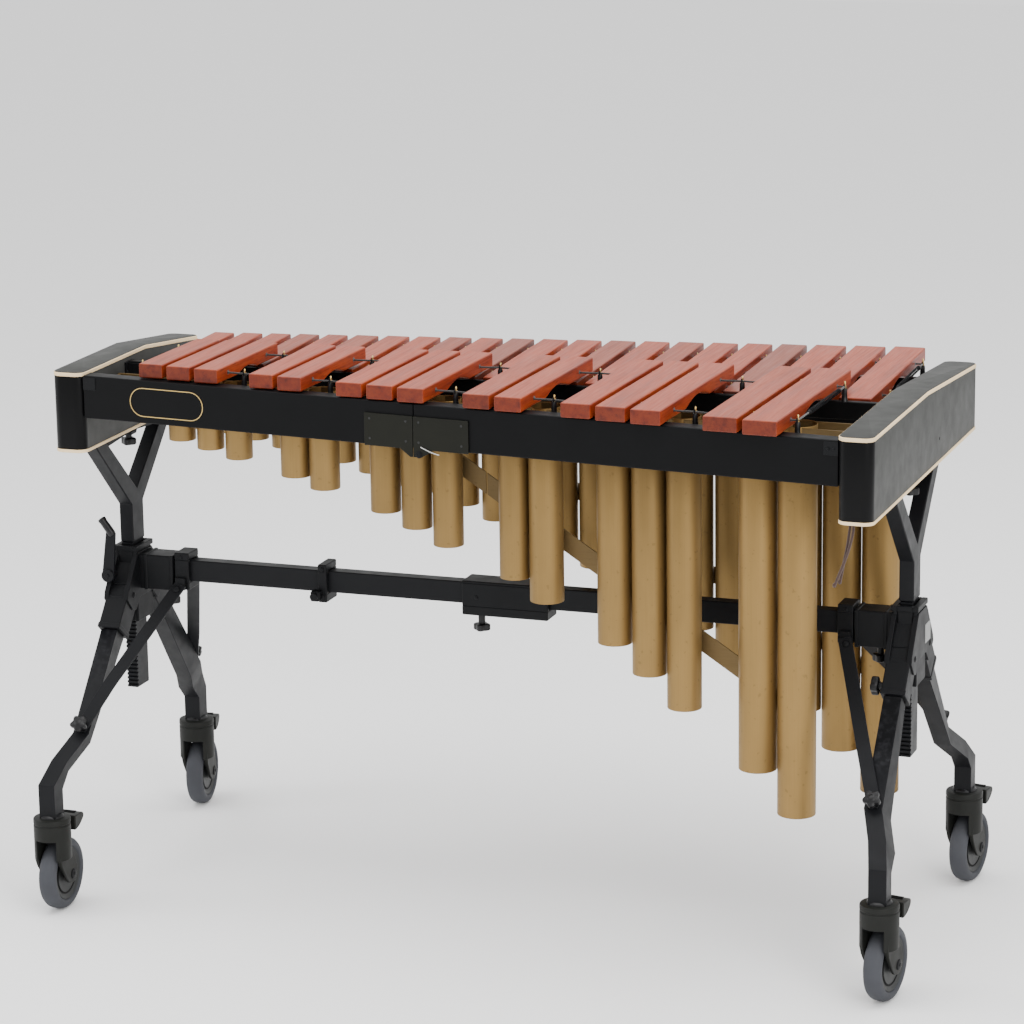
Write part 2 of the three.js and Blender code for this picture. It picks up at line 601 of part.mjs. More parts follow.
for (const [side, end] of [[1, "low"], [-1, "high"]]) {
  const inner = side * COLLAR.inner;
  const xs = side > 0 ? [inner, inner + COLLAR.wide] : [inner - COLLAR.wide, inner];
  add(`collar_${end}`, shaped(sleeve(xs, COLLAR.half, [COLLAR.bottom, COLLAR.top])), "steel");
  for (const [way, place] of [[-1, "near"], [1, "far"]]) {
    add(`leg_${end}_${place}`, leg(side, way), "steel");
    add(`brace_${end}_${place}`, brace(side, way), "steel");
    const foot = kneePoint(side, way, BRACE_THICK + 2 * GAP, BRACE_FOOT);
    add(`knob_${end}_${place}`, knob(15, 12, 6, foot, vector(0, way * legNormal.x, legNormal.y)), "plastic");
  }
  const barScrewX = side > 0 ? 650 : -624;
  const down = vector(0, 0, -1);
  add(`bar_screw_${end}`, knob(14, 13, 15, vector(barScrewX, STAND_Y, SOCKET.bottom - GAP), down),
    "plastic");
  add(`block_screw_${end}`, knob(14, 12, 23, vector(side * BLOCK_X, STAND_Y, BLOCKS[end].bottom - GAP), down),
    "plastic");
}
add("coupler_screw", knob(15, 12, 19, vector(-47, STAND_Y, 508 - GAP), vector(0, 0, -1)), "plastic");

// ---------------------------------------------------------------- clamps at the hubs
const SOCKET_FACE = COLUMN_X - (LEG_WIDE + 10) / 2 - GAP;
add("leg_screw_low", knob(16, 13, 9, vector(SOCKET_FACE, STAND_Y - 84, 461), vector(-1, 0, 0)), "plastic");

// The lever that locks the column of the high end; its pivot faces the audience, before the near leg's socket
const LEVER = { pivot: [-714, 540], elbow: [-706, 618], tip: [-724, 642], wide: 19, thick: 6, at: -68 };
const LEVER_BACK = -55.5;

function clampLever() {
  const y = STAND_Y + LEVER.at;
  const [pivot, elbow, tip] = [LEVER.pivot, LEVER.elbow, LEVER.tip].map(([x, z]) => vector(x, y, z));
  const boss = cylinder(12, [0, LEVER_BACK - LEVER.at + 6], [0, 0], 14).rotateX(-Math.PI / 2);
  boss.translate(pivot.x, y - 6, pivot.z);
  const grip = cylinder(7, [-5, elbow.distanceTo(tip)], [0, 0], 10);
  const turn = new THREE.Quaternion().setFromUnitVectors(UP, tip.clone().sub(elbow).normalize());
  grip.applyQuaternion(turn).translate(elbow.x, elbow.y, elbow.z);
  return union(boss, beam(pivot, elbow, LEVER.wide, LEVER.thick, vector(0, 1, 0)), grip);
}

add("clamp_lever", clampLever(), "steel");

// ---------------------------------------------------------------- casters
function casterHousing(x, y) {
  const cheekPoints = [[-22, HOOD_BOTTOM + 1], [-22, 100], [-8, 74], [10, 51], [TRAIL, 46], [TRAIL + 13, 51],
    [TRAIL + 17, 63], [TRAIL + 10, 84], [23, 104], [23, HOOD_BOTTOM + 1]];
  const placed = cheekPoints.map(([dy, z]) => [y + dy, z]);
  const top = LEG_KNEES[3][1] - GAP;
  const hood = solid(cylinder(HOOD_R, [HOOD_SKIRT, top], [x, y], 24));
  const mouth = box([x - CHEEK[0], x + CHEEK[0]], [y - 40, y + 40], [HOOD_SKIRT - 1, HOOD_BOTTOM]);
  const parts = [];
  for (const side of [-1, 1]) {
    const xs = side > 0 ? [x + CHEEK[0], x + CHEEK[1]] : [x - CHEEK[1], x - CHEEK[0]];
    parts.push(slab(placed, xs));
  }
  const axle = cylinder(AXLE_R, [-CHEEK[0] - 2, CHEEK[0] + 2], [0, 0], 10).rotateY(Math.PI / 2);
  parts.push(axle.translate(x, y + TRAIL, WHEEL_R));
  return shaped(hood.subtract(solid(mouth)).add(join(parts)));
}

// The wheel is a ring around its axle, with a flat of its tread turned down
function casterWheel(x, y) {
  const rim = WHEEL_R / Math.cos(Math.PI / WHEEL_SIDES);
  const half = [[AXLE_R + 0.5, 13], [44, 13], [47, WHEEL_HALF], [58, 15], [rim, 9]];
  const profile = [...half.map(([r, z]) => [r, -z]), ...half.reverse()];
  profile.push(profile[0]);
  const geometry = new THREE.LatheGeometry(outline(profile).getPoints(), WHEEL_SIDES);
  geometry.rotateZ(Math.PI / 2).rotateX(Math.PI / WHEEL_SIDES);
  return welded(geometry.translate(x, y + TRAIL, WHEEL_R));
}

function brakePedal(x, y) {
  const points = [[34, 127], [46, 131], [61, 141], [75, 149], [78, 154], [74, 159], [60, 162], [34, 164]];
  return slab(points.map(([dy, z]) => [y + dy, z]), [x - 27, x + 27]);
}

for (const [side, end] of [[1, "low"], [-1, "high"]]) {
  for (const [way, place] of [[-1, "near"], [1, "far"]]) {
    const x = side * (COLUMN_X + LEG_SPLAY);
    const y = STAND_Y + way * LEG_KNEES[3][0];
    const turned = (geometry) => geometry.rotateZ(THREE.MathUtils.degToRad(SWIVEL[`${end}_${place}`])).translate(x, y, 0);
    add(`caster_${end}_${place}`, turned(casterHousing(0, 0)), "plastic");
    add(`wheel_${end}_${place}`, turned(casterWheel(0, 0)), "rubber");
    add(`pedal_${end}_${place}`, turned(brakePedal(0, 0)), "plastic");
  }
}

// ---------------------------------------------------------------- loose ends of the bar cord
const TAIL_R = 2.2;
const TAILS = {
  cord_tail_a: [[683, -331, 799], [682, -331, 785], [680, -331, 768], [674, -331, 745], [666, -331, 722],
    [658, -331, 702], [652, -331, 686]],
  cord_tail_b: [[676, -324, 799], [675, -324, 785], [673, -324, 768], [670, -324, 748], [666, -324, 728],
    [662, -324, 706], [659, -324, 690]],
};
const tailSection = outline([0, 1, 2, 3, 4, 5, 6, 7].map((k) => [
  TAIL_R * Math.cos(k * Math.PI / 4), TAIL_R * Math.sin(k * Math.PI / 4)]));
for (const [name, points] of Object.entries(TAILS)) {
  const path = new THREE.CatmullRomCurve3(points.map(([x, y, z]) => vector(x, y, z)));
  add(name, new THREE.ExtrudeGeometry(tailSection, { steps: 14, extrudePath: path, bevelEnabled: false }), "cord");
}

export default instrument;
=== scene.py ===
import math

import bmesh
import bpy
from mathutils import Matrix, Vector


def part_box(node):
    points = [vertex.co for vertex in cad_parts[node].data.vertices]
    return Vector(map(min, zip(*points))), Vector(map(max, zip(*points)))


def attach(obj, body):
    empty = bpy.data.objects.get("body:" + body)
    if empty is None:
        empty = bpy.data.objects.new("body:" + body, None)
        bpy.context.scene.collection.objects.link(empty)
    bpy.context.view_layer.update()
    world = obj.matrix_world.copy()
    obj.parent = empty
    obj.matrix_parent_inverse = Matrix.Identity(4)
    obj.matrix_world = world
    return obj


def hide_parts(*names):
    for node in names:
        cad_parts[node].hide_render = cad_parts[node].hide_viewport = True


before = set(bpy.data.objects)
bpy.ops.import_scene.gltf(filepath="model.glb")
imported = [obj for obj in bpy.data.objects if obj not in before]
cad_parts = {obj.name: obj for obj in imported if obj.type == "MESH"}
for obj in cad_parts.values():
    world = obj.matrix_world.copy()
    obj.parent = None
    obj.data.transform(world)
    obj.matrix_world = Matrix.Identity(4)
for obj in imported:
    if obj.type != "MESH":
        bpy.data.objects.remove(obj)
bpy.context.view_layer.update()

MM = 0.001


def linked(name, data):
    made = bpy.data.objects.new(name, data)
    bpy.context.scene.collection.objects.link(made)
    return made


# ---------------------------------------------------------------- camera
YAW, PITCH, ROLL = (math.radians(a) for a in (19.768, 13.8846, -0.848))
FOCAL = 3730.37  # in widths of one 1024th of the picture
ahead = Vector((-math.sin(YAW) * math.cos(PITCH), math.cos(YAW) * math.cos(PITCH), -math.sin(PITCH)))
level = Vector((math.cos(YAW), math.sin(YAW), 0))
above = level.cross(ahead)
cam_x = math.cos(ROLL) * level + math.sin(ROLL) * above
cam_y = math.cos(ROLL) * above - math.sin(ROLL) * level
lens = bpy.data.cameras.new("camera")
lens.sensor_width = 36
lens.lens = FOCAL * 36 / 1024
lens.clip_end = 100
camera = linked("camera", lens)
pose = Matrix((cam_x, cam_y, -ahead)).transposed().to_4x4()
pose.translation = Vector((2.07546, -5.76724, 2.19702))
camera.matrix_world = pose
bpy.context.scene.camera = camera

# ---------------------------------------------------------------- dimensions, in mm, as in the CAD
GAP = 0.3
SY = -21  # the stand's middle plane
KY = -61.6  # origin of the keyboard's lines
CX = 697.5  # columns, out from the middle
BLOCK_HALF = 28
FOOT_Y, FOOT_Z = 300, 172  # where a leg meets its caster
BAR_THICK = 24
NATURAL_TOP = 924
ACCIDENTAL_TOP = 956
NATURAL_WIDTHS = [38] * 5 + [42] * 6 + [46] * 8 + [54] * 3
ACCIDENTAL_WIDTHS = [43] * 5 + [46] * 5 + [50] * 3 + [56] * 2
NATURAL_TUBES = [44] * 5 + [49] * 6 + [56] * 8 + [66] * 3
ACCIDENTAL_TUBES = [46] * 3 + [51] * 6 + [57] * 4 + [63] * 2
NATURAL_STEPS = [36, 35, 33, 31, 29, 28, 26, 24, 23, 21, 19, 17, 16, 14, 12, 11, 9, 7, 5, 4, 2, 0]
ACCIDENTAL_STEPS = [34, 32, 30, 27, 25, 22, 20, 18, 15, 13, 10, 8, 6, 3, 1]
GROUPS = [(1, 3), (5, 2), (8, 3), (12, 2), (15, 3), (19, 2)]


def line(at, slope):
    return lambda x: KY + at + slope * x


FRONT_FACE = line(-250.7, -0.097)
ACC_NEAR, ACC_FAR = line(-255.4, -0.1285), line(63.3, 0.045)
ACC_CORDS = [line(-198.7, -0.097), line(0, 0.01)]
NAT_NEAR, NAT_FAR = line(12, 0.01), line(351.7, 0.1633)
NAT_CORDS = [line(80, 0.04), line(283.8, 0.131)]


class Bar:
    def __init__(self, x, wide, near, far, tilt, pivot, tube, steps, top):
        self.x, self.wide, self.near, self.far = x, wide, near, far
        self.tilt, self.pivot, self.tube, self.steps, self.top = tilt, pivot, tube, steps, top

    def at(self, y):
        return self.x + self.tilt * (y - self.pivot)


def natural_bars():
    edge = -(sum(NATURAL_WIDTHS) + 13 * 21) / 2
    bars = []
    for wide, tube, steps in zip(NATURAL_WIDTHS, NATURAL_TUBES, NATURAL_STEPS):
        x = edge + wide / 2
        edge += wide + 13
        bars.append(Bar(x, wide, NAT_NEAR(x), NAT_FAR(x), -0.03, NAT_FAR(x), tube, steps, NATURAL_TOP))
    return bars


def accidental_bars(naturals):
    bars = []
    for first, count in GROUPS:
        served = naturals[first:first + count + 1]
        middle = sum(bar.x for bar in served) / len(served) - 15
        pitch = ACCIDENTAL_WIDTHS[len(bars)] + 10
        for k in range(count):
            i = len(bars)
            x = middle + (k - (count - 1) / 2) * pitch
            near = ACC_NEAR(x)
            bars.append(Bar(x, ACCIDENTAL_WIDTHS[i], near, ACC_FAR(x), 0.025, near,
                            ACCIDENTAL_TUBES[i], ACCIDENTAL_STEPS[i], ACCIDENTAL_TOP))
    return bars


NATURALS = natural_bars()
ACCIDENTALS = accidental_bars(NATURALS)


def between(bars, i, y_of):
    x = (bars[i].at(0) + bars[i + 1].at(0)) / 2
    a, b = bars[i], bars[i + 1]
    return (a.at(y_of(x)) + a.wide / 2 + b.at(y_of(x)) - b.wide / 2) / 2


# ---------------------------------------------------------------- materials
class Look:
    """A procedural material; its nodes are added one call at a time."""

    def __init__(self, name, color, rough=0.5, metal=0.0, **sockets):
        self.material = bpy.data.materials.new(name)
        self.material.use_nodes = True
        self.tree = self.material.node_tree
        self.shader = self.tree.nodes["Principled BSDF"]
        self.set("Base Color", (*color, 1))
        self.set("Roughness", rough)
        self.set("Metallic", metal)
        for key, value in sockets.items():
            self.set(key.replace("_", " "), value)
        self.coords = self.tree.nodes.new("ShaderNodeTexCoord").outputs["Object"]
        self.material.diffuse_color = (*color, 1)

    def set(self, socket, value):
        self.shader.inputs[socket].default_value = value

    def node(self, kind, **values):
        made = self.tree.nodes.new("ShaderNode" + kind)
        for key, value in values.items():
            if hasattr(made, key):
                setattr(made, key, value)
            else:
                made.inputs[key.replace("_", " ")].default_value = value
        return made

    def link(self, source, target):
        self.tree.links.new(source, target)

    def noise(self, scale, stretch=(1, 1, 1), detail=4.0, rough=0.55, offset=None):
        mapping = self.node("Mapping")
        mapping.inputs["Scale"].default_value = stretch
        self.link(self.coords, mapping.inputs["Vector"])
        if offset is not None:
            self.link(offset, mapping.inputs["Location"])
        noise = self.node("TexNoise", Scale=scale, Detail=detail, Roughness=rough)
        self.link(mapping.outputs["Vector"], noise.inputs["Vector"])
        return noise.outputs["Fac"]

    def ramp(self, source, stops):
        ramp = self.node("ValToRGB")
        elements = ramp.color_ramp.elements
        while len(elements) < len(stops):
            elements.new(0.5)
        for element, (at, color) in zip(elements, stops):
            element.position = at
            element.color = (*color, 1)
        self.link(source, ramp.inputs["Fac"])
        return ramp.outputs["Color"]

    def range(self, source, low, high, start=0.3, stop=0.7):
        node = self.node("MapRange")
        for key, value in (("From Min", start), ("From Max", stop), ("To Min", low), ("To Max", high)):
            node.inputs[key].default_value = value
        self.link(source, node.inputs["Value"])
        return node.outputs["Result"]

    def mix(self, a, b, factor, blend="MIX"):
        node = self.node("Mix")
        node.data_type = "RGBA"
        node.blend_type = blend
        for socket, value in ((node.inputs[6], a), (node.inputs[7], b), (node.inputs[0], factor)):
            if isinstance(value, (tuple, float, int)):
                socket.default_value = (*value, 1) if isinstance(value, tuple) else value
            else:
                self.link(value, socket)
        return node.outputs[2]

    def bump(self, height, distance, strength=1.0):
        node = self.node("Bump", Distance=distance, Strength=strength)
        self.link(height, node.inputs["Height"])
        self.link(node.outputs["Normal"], self.shader.inputs["Normal"])

    def color(self, source):
        self.link(source, self.shader.inputs["Base Color"])

    def rough(self, source):
        self.link(source, self.shader.inputs["Roughness"])


def painted(name, color, rough, grain, depth, paler_edge_color=None, mottling=0.12, **sockets):
    """A painted or moulded surface with fine texture, slight mottling and faintly paler edges."""
    look = Look(name, color, rough, **sockets)
    mottle = look.noise(14, detail=3)
    base = look.ramp(mottle, [(0.3, tuple(c * (1 - mottling) for c in color)),
                              (0.7, tuple(c * (1 + mottling) for c in color))])
    # Rounded edges turn paler, in noise patches.
    if paler_edge_color:
        rounded = look.node("Bevel")
        rounded.samples = 4
        rounded.inputs["Radius"].default_value = 1.2 * MM
        geometry = look.node("NewGeometry")
        bend = look.node("VectorMath", operation="DOT_PRODUCT")
        look.link(rounded.outputs["Normal"], bend.inputs[0])
        look.link(geometry.outputs["True Normal"], bend.inputs[1])
        edge = look.range(bend.outputs["Value"], 1.0, 0.0, 0.86, 0.97)
        share = look.node("Math", operation="MULTIPLY")
        look.link(edge, share.inputs[0])
        look.link(look.range(look.noise(90, detail=5), 0.0, 0.55, 0.45, 0.75), share.inputs[1])
        base = look.mix(base, paler_edge_color, share.outputs[0])
    look.color(base)
    look.rough(look.range(look.noise(35, detail=4), rough - 0.05, rough + 0.06))
    look.bump(look.noise(grain, detail=2), depth * MM, 0.5)
    return look.material


def wood(name):
    """Oiled padouk: grain along Y, fine dark pores, a tone of its own for each bar; painted shade on near-facing faces,
    painted light on tops.
    """
    look = Look(name, (0.3, 0.04, 0.015), 0.45, Specular_IOR_Level=0.3)
    tone = look.node("Attribute", attribute_name="tone")
    shift = look.node("VectorMath", operation="SCALE")
    shift.inputs[0].default_value = (3.1, 7.3, 5.7)
    look.link(tone.outputs["Fac"], shift.inputs["Scale"])
    offset = shift.outputs[0]
    figure = look.noise(7.0, (9, 0.55, 9), 5, 0.6, offset)
    streak = look.noise(30.0, (9, 0.35, 9), 4, 0.7, offset)
    pores = look.noise(170.0, (6, 0.22, 6), 2, 0.5, offset)
    base = look.ramp(figure, [(0.28, (0.115, 0.012, 0.004)), (0.46, (0.240, 0.027, 0.005)),
                              (0.58, (0.30, 0.042, 0.007)), (0.76, (0.175, 0.020, 0.005))])
    base = look.mix(base, (0.085, 0.010, 0.006), look.range(streak, 0.0, 0.5, 0.5, 0.75))
    base = look.mix(base, (0.045, 0.007, 0.004), look.range(pores, 0.0, 0.7, 0.54, 0.70))
    hue = look.ramp(tone.outputs["Fac"], [(0.0, (0.62, 0.72, 0.80)), (0.25, (0.85, 0.9, 0.95)),
                                          (0.6, (1.0, 1.0, 1.0)), (1.0, (1.12, 1.12, 1.05))])
    base = look.mix(base, hue, 1.0, "MULTIPLY")
    greyed = look.range(tone.outputs["Fac"], 0.55, 0.0, 0.0, 0.22)
    base = look.mix(base, (0.105, 0.035, 0.026), greyed)
    painted_light_geometry = look.node("NewGeometry")
    painted_light_axes = look.node("SeparateXYZ")
    look.link(painted_light_geometry.outputs["Normal"], painted_light_axes.inputs[0])
    # Painted shade: faces turned to the near side (-Y) are darkened.
    base = look.mix(base, (0.40, 0.34, 0.30), look.range(painted_light_axes.outputs["Y"], 0.85, 0.0, -1.0, -0.4), "MULTIPLY")
    # Painted light: faces turned up are tinted paler.
    base = look.mix(base, (0.33, 0.078, 0.040), look.range(painted_light_axes.outputs["Z"], 0.0, 0.34, 0.6, 1.0))
    look.color(base)
    look.rough(look.range(streak, 0.34, 0.5))
    look.bump(look.mix(pores, streak, 0.4), 0.12 * MM, 0.35)
    return look.material


def brushed(name, color, rough, stretch, metal=0.9, dirt=0.25):
    """Satin anodised or plated metal, with fine drawn lines and faint marks."""
    look = Look(name, color, rough, metal)
    drawn = look.noise(60, stretch, 3, 0.6)
    cloudy = look.noise(3.5, (1, 1, 0.45), 5, 0.6)
    dark = tuple(c * 0.7 for c in color)
    base = look.ramp(cloudy, [(0.3, dark), (0.62, color)])
    specks = look.range(look.noise(120, detail=1), 0.0, dirt, 0.68, 0.74)
    look.color(look.mix(base, tuple(c * 0.25 for c in color), specks))
    look.rough(look.range(drawn, rough - 0.06, rough + 0.09))
    look.bump(drawn, 0.05 * MM, 0.35)
    return look.material


DULL = {"Specular_IOR_Level": 0.13}
# Painted light and shade: one satin black block paint in two copies, a paler one for the block's sides and top, a
# near-black one for its end faces.
LIT_SIDE = painted("block_side_painted_light", (0.040, 0.041, 0.039), 0.55, 900, 0.10, **DULL)
SHADED_NOSE = painted("block_nose_painted_shade", (0.0025, 0.0025, 0.0028), 0.36, 500, 0.02, Specular_IOR_Level=0.09)
RAIL = painted("rail_paint", (0.0024, 0.0025, 0.0029), 0.45, 260, 0.03, Specular_IOR_Level=0.1)
STEEL = painted("powder_coat", (0.0052, 0.0055, 0.0066), 0.44, 700, 0.07, (0.035, 0.035, 0.04), **DULL)
CAST = painted("cast_coat", (0.0045, 0.0048, 0.0056), 0.48, 420, 0.14, (0.035, 0.035, 0.037), **DULL)
HINGE = painted("hinge_steel", (0.0078, 0.0080, 0.0056), 0.42, 300, 0.03, (0.05, 0.05, 0.04), **DULL)
PLASTIC = painted("moulded_plastic", (0.0035, 0.0035, 0.0042), 0.38, 650, 0.03, Specular_IOR_Level=0.3)
HOOD = painted("caster_hood", (0.0105, 0.0110, 0.0098), 0.5, 800, 0.05, **DULL)
# Painted shade: a near-black colour for grooves and gaps on the casters.
RECESS_SHADE = painted("recess_painted_shade", (0.003, 0.003, 0.003), 0.7, 300, 0.02, **DULL)
TYRE = painted("tyre_rubber", (0.048, 0.050, 0.057), 0.62, 350, 0.05, **DULL)
DISC = painted("wheel_disc", (0.026, 0.027, 0.027), 0.45, 500, 0.03, **DULL)
PIPING = painted("piping", (0.78, 0.60, 0.36), 0.6, 400, 0.02, **DULL)
PLATE = painted("grey_plate", (0.26, 0.265, 0.26), 0.5, 400, 0.03, **DULL)
PADOUK = wood("padouk")
TUBE = brushed("champagne_tube", (0.28, 0.174, 0.058), 0.50, (14, 14, 0.12), 0.75)
# Painted shade: the bank plates take a darker copy of the tube's champagne colour.
SHADED_BANK = brushed("champagne_plate_painted_shade", (0.16, 0.105, 0.042), 0.52, (0.2, 8, 8), 0.7)
# Painted shade: the tubes' inner walls take a near-black copy of the champagne colour.
BORE_SHADE = painted("tube_inside_painted_shade", (0.03, 0.021, 0.01), 0.6, 200, 0.03)
BRASS = brushed("brass", (0.70, 0.50, 0.20), 0.30, (6, 6, 6), 1.0)
ZINC = brushed("zinc", (0.50, 0.50, 0.48), 0.3, (6, 6, 6), 1.0)


def woven(name, color):
    look = Look(name, color, 0.85, **{"Sheen_Weight": 0.3})
    wave = look.node("TexWave", Scale=420, Distortion=1.5, Detail=2)
    wave.wave_type = "BANDS"
    wave.bands_direction = "DIAGONAL"
    look.link(look.coords, wave.inputs["Vector"])
    look.color(look.ramp(wave.outputs["Fac"], [(0.2, tuple(c * 0.5 for c in color)), (0.8, color)]))
    look.bump(wave.outputs["Fac"], 0.3 * MM, 0.6)
    return look.material


CORD = woven("bar_cord", (0.022, 0.018, 0.017))
TAIL = woven("tail_cord", (0.055, 0.022, 0.014))
# Painted shade of the cord holes in the bars' sides.
CORD_HOLE_SHADE = woven("cord_hole_shade", (0.02, 0.012, 0.01))


# ---------------------------------------------------------------- mesh helpers (all in mm)
def quads(bm, a, b):
    """Joins two closed rings of equally many points."""
    n = len(a)
    for k in range(n):
        j = (k + 1) % n
        bm.faces.new((a[k], a[j], b[j], b[k]))


def loft(bm, rings):
    """A closed body through rings of equally many points."""
    bm.faces.new(rings[0][::-1])
    bm.faces.new(rings[-1])
    for a, b in zip(rings, rings[1:]):
        quads(bm, a, b)


def shell(bm, low, high):
    """A closed body between two outlines of equally many points."""
    loft(bm, [[bm.verts.new(p) for p in ring] for ring in (low, high)])


def block(bm, xs, ys, zs):
    (x0, x1), (y0, y1), (z0, z1) = (sorted(v) for v in (xs, ys, zs))
    plan = [(x0, y0), (x1, y0), (x1, y1), (x0, y1)]
    shell(bm, [(x, y, z0) for x, y in plan], [(x, y, z1) for x, y in plan])


def slab(bm, points, xs):
    """A side outline of (y, z) points between two X planes."""
    x0, x1 = sorted(xs)
    shell(bm, [(x0, y, z) for y, z in points], [(x1, y, z) for y, z in points])


def plan(bm, points, zs):
    shell(bm, [(x, y, zs[0]) for x, y in points], [(x, y, zs[1]) for x, y in points])


def sheet(bm, points, y_of, thick):
    """A front outline of (x, z) points whose thickness follows a line y(x)."""
    shell(bm, [(x, y_of(x), z) for x, z in points], [(x, y_of(x) + thick, z) for x, z in points])


def axes(direction, normal=None):
    z = Vector(direction).normalized()
    ref = Vector(normal) if normal is not None else (Vector((1, 0, 0)) if abs(z.x) < 0.8 else Vector((0, 1, 0)))
    y = (ref - z * ref.dot(z)).normalized()
    return y.cross(z), y, z


def beam(bm, a, b, wide, thick, normal, taper=1.0):
    a, b = Vector(a), Vector(b)
    x, y, _ = axes(b - a, normal)
    ring = [(-0.5, -0.5), (0.5, -0.5), (0.5, 0.5), (-0.5, 0.5)]
    shell(bm, [a + x * wide * u + y * thick * v for u, v in ring],
          [b + x * wide * taper * u + y * thick * v for u, v in ring])


def lathe(bm, profile, origin, direction, sides=32, closed=False):
    """Turns a profile of (radius, height) points round an axis; radius 0 closes an end."""
    x, y, z = axes(direction)
    origin = Vector(origin)
    rings = []
    for radius, height in profile:
        centre = origin + z * height
        if radius <= 0:
            rings.append([bm.verts.new(centre)])
        else:
            rings.append([bm.verts.new(centre + (x * math.cos(t) + y * math.sin(t)) * radius)
                          for t in (2 * math.pi * k / sides for k in range(sides))])
    pairs = list(zip(rings, rings[1:]))
    if closed:
        pairs.append((rings[-1], rings[0]))
    for a, b in pairs:
        for k in range(sides):
            j = (k + 1) % sides
            if len(a) == 1 and len(b) == 1:
                continue
            if len(a) == 1:
                bm.faces.new((a[0], b[j], b[k]))
            elif len(b) == 1:
                bm.faces.new((a[k], a[j], b[0]))
            else:
                bm.faces.new((a[k], a[j], b[j], b[k]))


def button(bm, centre, direction, radius, tall, sides=20):
    """A low domed head, such as a rivet's or a screw's."""
    r, t = radius, tall
    lathe(bm, [(0, t), (0.35 * r, t), (0.75 * r, 0.86 * t), (0.95 * r, 0.5 * t), (r, 0.1 * t), (r, -0.6), (0, -0.6)],
          centre, direction, sides)


def star(bm, centre, direction, radius, tall, stem, lobes=5):
    """A lobed hand knob on a round stem; `centre` is where the stem starts."""
    x, y, z = axes(direction)
    centre = Vector(centre)
    n = lobes * 10

    def ring(scale, height):
        out = []
        for k in range(n):
            t = 2 * math.pi * k / n
            r = radius * scale * (0.86 + 0.14 * math.cos(lobes * t))
            out.append(bm.verts.new(centre + z * height + (x * math.cos(t) + y * math.sin(t)) * r))
        return out
    rings = [ring(s, stem + h) for s, h in ((0.8, 0), (0.97, 1.2), (1.0, 2.6),
                                            (1.0, tall - 2.6), (0.95, tall - 1), (0.8, tall))]
    loft(bm, rings)
    end = stem + tall
    lathe(bm, [(0, end + 1.2), (radius * 0.3, end + 1.2), (radius * 0.42, end), (radius * 0.42, stem)],
          centre, direction, 20)
    lathe(bm, [(0, 0), (radius * 0.4, 0), (radius * 0.4, stem + 1)], centre, direction, 20)


def finished(name, bm, body, slot, looks, bevel=0.0, segments=2, sharp=38, replaces=(), look_of=None, merge=True):
    """Makes the piece: mm to metres, outward normals, bevel, smooth shading and body; slot is not used."""
    if merge:
        bmesh.ops.remove_doubles(bm, verts=bm.verts, dist=1e-4)
    bmesh.ops.recalc_face_normals(bm, faces=bm.faces)
    if look_of:
        for face in bm.faces:
            face.material_index = look_of(face)
    bmesh.ops.scale(bm, vec=(MM, MM, MM), verts=bm.verts)
    mesh = bpy.data.meshes.new(name)
    bm.to_mesh(mesh)
    bm.free()
    for look in looks if isinstance(looks, (list, tuple)) else [looks]:
        mesh.materials.append(look)
    mesh.shade_smooth()
    mesh.set_sharp_from_angle(angle=math.radians(sharp))
    piece = linked(name, mesh)
    if bevel:
        mod = piece.modifiers.new("bevel", "BEVEL")
        mod.width = bevel * MM
        mod.segments = segments
        mod.limit_method = "ANGLE"
        mod.angle_limit = math.radians(32)
        mod.harden_normals = True
        mod.use_clamp_overlap = True
    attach(piece, body)
    if replaces:
        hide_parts(*replaces)
    return piece


def rope(name, points, radius, body, look, cyclic=False):
    """A round cord or wire along points, as one open curve."""
    curve = bpy.data.curves.new(name, "CURVE")
    curve.dimensions = "3D"
    curve.bevel_depth = radius * MM
    curve.bevel_resolution = 4
    curve.use_fill_caps = True
    spline = curve.splines.new("POLY")
    spline.points.add(len(points) - 1)
    for target, point in zip(spline.points, points):
        target.co = (*(Vector(point) * MM), 1)
    spline.use_cyclic_u = cyclic
    curve.materials.append(look)
    piece = linked(name, curve)
    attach(piece, body)
    return piece


def smooth_path(points, steps):
    """Catmull-Rom points through the given ones."""
    pts = [Vector(p) for p in points]
    pts = [2 * pts[0] - pts[1]] + pts + [2 * pts[-1] - pts[-2]]
    out = []
    for i in range(1, len(pts) - 2):
        a, b, c, d = pts[i - 1:i + 3]
        for k in range(steps):
            t = k / steps
            out.append(0.5 * (2 * b + (c - a) * t + (2 * a - 5 * b + 4 * c - d) * t * t
                              + (3 * b - 3 * c + d - a) * t ** 3))
    return out + [pts[-2]]


# ---------------------------------------------------------------- loose ends of the bar cord
TAILS = {
    "cord_tail_a": [(683, -331, 799), (682, -331, 785), (680, -331, 768), (674, -331, 745), (666, -331, 722),
                    (658, -331, 702), (652, -331, 686)],
    "cord_tail_b": [(676, -324, 799), (675, -324, 785), (673, -324, 768), (670, -324, 748), (666, -324, 728),
                    (662, -324, 706), (659, -324, 690)],
}
for node, route in TAILS.items():
    route = smooth_path(route, 4)
    reach = sum((b - a).length for a, b in zip(route, route[1:])) * MM
    tail = rope("loose_" + node, route, 2.2, "keyboard", TAIL)
    bm = bmesh.new()
    end = route[-1]
    lathe(bm, [(0, 3.4), (1.8, 3.2), (2.8, 1.8), (3.0, 0), (2.6, -2), (1.5, -3.4), (0, -3.6)],
          end + Vector((0, 0, 2.5)), (0.1, 0, 1), 16)
    knot = finished("knot_" + node, bm, "keyboard", "cord", TAIL)
    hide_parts(node)

# ---------------------------------------------------------------- bars
TONES = [0.62, 0.5, 0.66, 0.14, 0.7, 0.16, 0.55, 0.72, 0.16, 0.5, 0.02, 0.75, 0.7, 0.14, 0.68, 0.18, 0.6, 0.72,
         0.04, 0.8, 0.75, 0.74]
SHARPS = [0.35, 0.55, 0.5, 0.75, 0.6, 0.85, 0.72, 0.55, 0.32, 0.68, 0.58, 0.5, 0.62, 0.3, 0.45]


